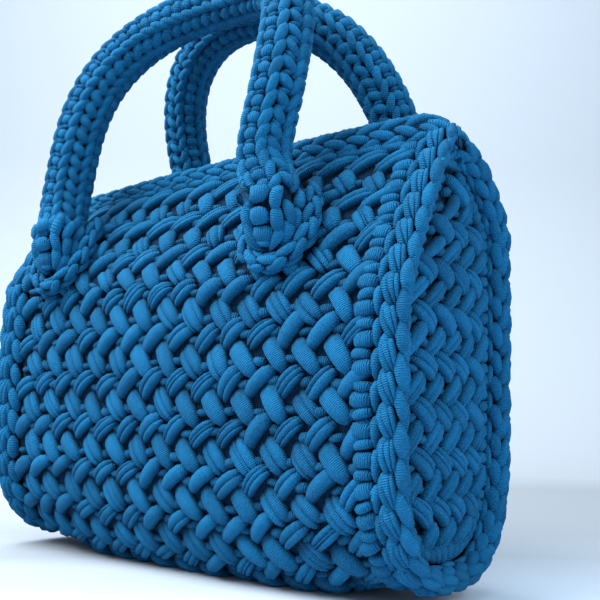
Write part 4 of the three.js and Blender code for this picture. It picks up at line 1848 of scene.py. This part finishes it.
@dataclass
class Studio:
    """The pale floor with painted light and shadow, the soft light and the camera at the photograph's angle.

    The floor's paper is paler far away, painted light that brightens the backdrop. At the bag's right, where
    its shadow falls, the paper is darker as a painted shadow, and a table gives pairs of a distance ahead and
    the share of the paper's colour there: above one it is painted light that softens the real shadow beside
    the bag, and below one more painted shadow further back. Lengths are millimetres, angles radians and
    colours linear.
    """

    place: tuple[float, float, float] = (295.36, -344.79, 80.97)
    yaw: float = 0.6353
    pitch: float = -0.1245
    roll: float = 0.031
    lens: float = 51.59
    sensor: float = 36.0
    clip_start: float = 0.01
    paper: tuple[float, float, float] = (0.235, 0.28, 0.33)
    # painted shadow: darker paper where the bag's shadow falls at its right
    painted_shadow_paper: tuple[float, float, float] = (0.215, 0.258, 0.30)
    # painted light: paler paper far away brightens the backdrop
    far_paper: tuple[float, float, float] = (0.425, 0.475, 0.52)
    paper_roughness: float = 0.8
    paper_gloss: float = 0.1
    pale_side: float = -250.0
    # where the painted shadow starts, across to the right
    painted_shadow_edge: float = 150.0
    # painted light near the bag (shares above one) and painted shadow further back (below one)
    painted_light_and_shadow_tones: tuple[tuple[float, float], ...] = (
        (-100, 2.5), (-25, 1.9), (50, 1.15), (160, 0.84), (300, 0.74), (500, 0.68), (700, 0.82), (1300, 1.02))
    sky: tuple[float, float, float] = (0.70, 0.85, 1.0)
    sky_strength: float = 0.9
    apron: float = 6000.0
    near: float = -100.0
    flat: float = 700.0
    curve: float = 600.0
    curve_points: int = 24
    wall: float = 2200.0
    lamps: tuple[Lamp, ...] = (
        Lamp("key", place=(-330, -480, 800), target=(0, 0, 100), size=800, power=25.5,
             colour=(1.0, 0.98, 0.95)),
        Lamp("end", place=(800, -100, 500), target=(100, 0, 100), size=500, power=4.0,
             colour=(0.9, 0.96, 1.0)),
        Lamp("back", place=(-500, 350, 1500), target=(-750, 1200, 300), size=1500, power=23.5,
             colour=(0.97, 0.97, 1.0)),
    )

    def build(self) -> None:
        """Makes the floor, the world, the lights and the camera."""
        self.floor()
        self.world()
        for lamp in self.lamps:
            lamp.hang()
        self.camera()

    def floor(self) -> None:
        """A wide pale sheet: flat under the bag, then up a quarter circle behind it to a wall, its colour
        holding painted light and shadow.
        """
        turn = np.linspace(0, np.pi / 2, self.curve_points)
        stations, tones = np.array(self.painted_light_and_shadow_tones).T
        level = stations[stations < self.flat]
        end = self.flat + self.curve
        far = np.concatenate([[-self.apron], level, self.flat + self.curve * np.sin(turn), [end]])
        up = np.concatenate([0 * level, [0.0], self.curve * (1 - np.cos(turn)), [self.wall]])
        wide = np.array([-self.apron, self.pale_side, self.painted_shadow_edge, self.apron])[:, None]
        ahead = np.array([-np.sin(self.yaw), np.cos(self.yaw)])
        points = np.stack([
            wide * ahead[1] + far * ahead[0], -wide * ahead[0] + far * ahead[1], up + 0 * wide], -1)
        rows = len(far)
        faces = [(c + k, c + k + rows, c + k + rows + 1, c + k + 1)
                 for c in range(0, (len(wide) - 1) * rows, rows) for k in range(rows - 1)]
        mesh = bpy.data.meshes.new("floor")
        mesh.from_pydata((points.reshape(-1, 3) * MM).tolist(), [], faces)
        mesh.polygons.foreach_set("use_smooth", np.ones(len(faces), bool))
        # painted shadow: columns at the bag's right take the darker paper
        near = np.where(wide[..., None] < self.painted_shadow_edge, self.paper, self.painted_shadow_paper)
        # painted light: the paper grows paler towards the backdrop
        ahead_by = np.clip((far - self.near) / (self.flat - self.near), 0, 1)
        colours = mix(near, np.array(self.far_paper), ahead_by[:, None])
        # painted light and shadow at the right, by distance ahead
        in_painted_shadow = wide[:, 0] >= self.painted_shadow_edge
        colours[in_painted_shadow] *= np.interp(far, stations, tones)[:, None]
        colours = np.concatenate([colours, np.ones(colours.shape[:2] + (1,))], -1)
        paint = mesh.attributes.new("paper", "FLOAT_COLOR", "POINT")
        paint.data.foreach_set("color", colours.astype(np.float32).ravel())
        mesh.materials.append(self.floor_paper())
        floor = bpy.data.objects.new("floor", mesh)
        bpy.context.scene.collection.objects.link(floor)

    def floor_paper(self) -> bpy.types.Material:
        """The matt paper, coloured by the floor's own attribute, which holds painted light and shadow.

        Returns:
            The material.
        """
        material = bpy.data.materials.new("pale_floor")
        material.use_nodes = True
        tree = material.node_tree
        shader = tree.nodes["Principled BSDF"]
        tint = tree.nodes.new("ShaderNodeAttribute")
        tint.attribute_name = "paper"
        tree.links.new(tint.outputs["Color"], shader.inputs["Base Color"])
        shader.inputs["Roughness"].default_value = self.paper_roughness
        shader.inputs["Specular IOR Level"].default_value = self.paper_gloss
        return material

    def world(self) -> None:
        """A plain pale surround."""
        world = bpy.data.worlds.new("surround")
        world.use_nodes = True
        back = world.node_tree.nodes["Background"]
        back.inputs["Color"].default_value = (*self.sky, 1.0)
        back.inputs["Strength"].default_value = self.sky_strength
        bpy.context.scene.world = world
        bpy.context.scene.view_settings.view_transform = "Standard"

    def camera(self) -> None:
        """The camera, turned by yaw from +Y, pitch and roll."""
        cos, sin = np.cos, np.sin
        ahead = Vector((-sin(self.yaw) * cos(self.pitch), cos(self.yaw) * cos(self.pitch), -sin(self.pitch)))
        right = ahead.cross(Vector((0, 0, 1))).normalized()
        up = right.cross(ahead)
        across = right * cos(self.roll) + up * sin(self.roll)
        over = up * cos(self.roll) - right * sin(self.roll)
        lens = bpy.data.cameras.new("camera")
        lens.lens = self.lens
        lens.sensor_width = self.sensor
        lens.clip_start = self.clip_start
        camera = bpy.data.objects.new("camera", lens)
        bpy.context.scene.collection.objects.link(camera)
        where = Vector(self.place) * MM + Vector((0, mid_plane(), 0))
        turn = Matrix((across, over, -ahead)).transposed().to_4x4()
        camera.matrix_world = Matrix.Translation(where) @ turn
        bpy.context.scene.camera = camera


def main() -> None:
    """Builds the studio and every piece of the bag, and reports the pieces."""
    logging.basicConfig(level=logging.INFO, format="%(message)s")
    Studio().build()
    skin = Skin()
    sheet = skin.sheet()
    words = ("body", "rim", "panel", "handle")
    body, rim, panel, handle = (JerseyYarn(f"jersey_{word}").make() for word in words)
    pieces = [Body(skin, side).build(sheet, body) for side in Side]
    for end in End:
        pieces += [EndRim(skin, end).build(rim), EndPanel(skin, end).build(panel)]
    for side, seat in ((Side.FRONT, 2.0), (Side.BACK, 3.5)):
        pieces.append(MouthEdge(skin, side, seat).build(rim))
    for each in (
        Handle(skin, Side.FRONT, left_margin=42, right_margin=71, rise=105, arch=FRONT_ARCH),
        Handle(skin, Side.BACK, left_margin=59, right_margin=51, rise=110, arch=BACK_ARCH),
    ):
        pieces.append(each.build(sheet, handle))
        pieces += [each.build_border(sheet, leg, rim) for leg in End]
    for piece in pieces:
        LOG.info("%s: %d faces", piece.name, len(piece.data.polygons))


if __name__ == "__main__":
    main()
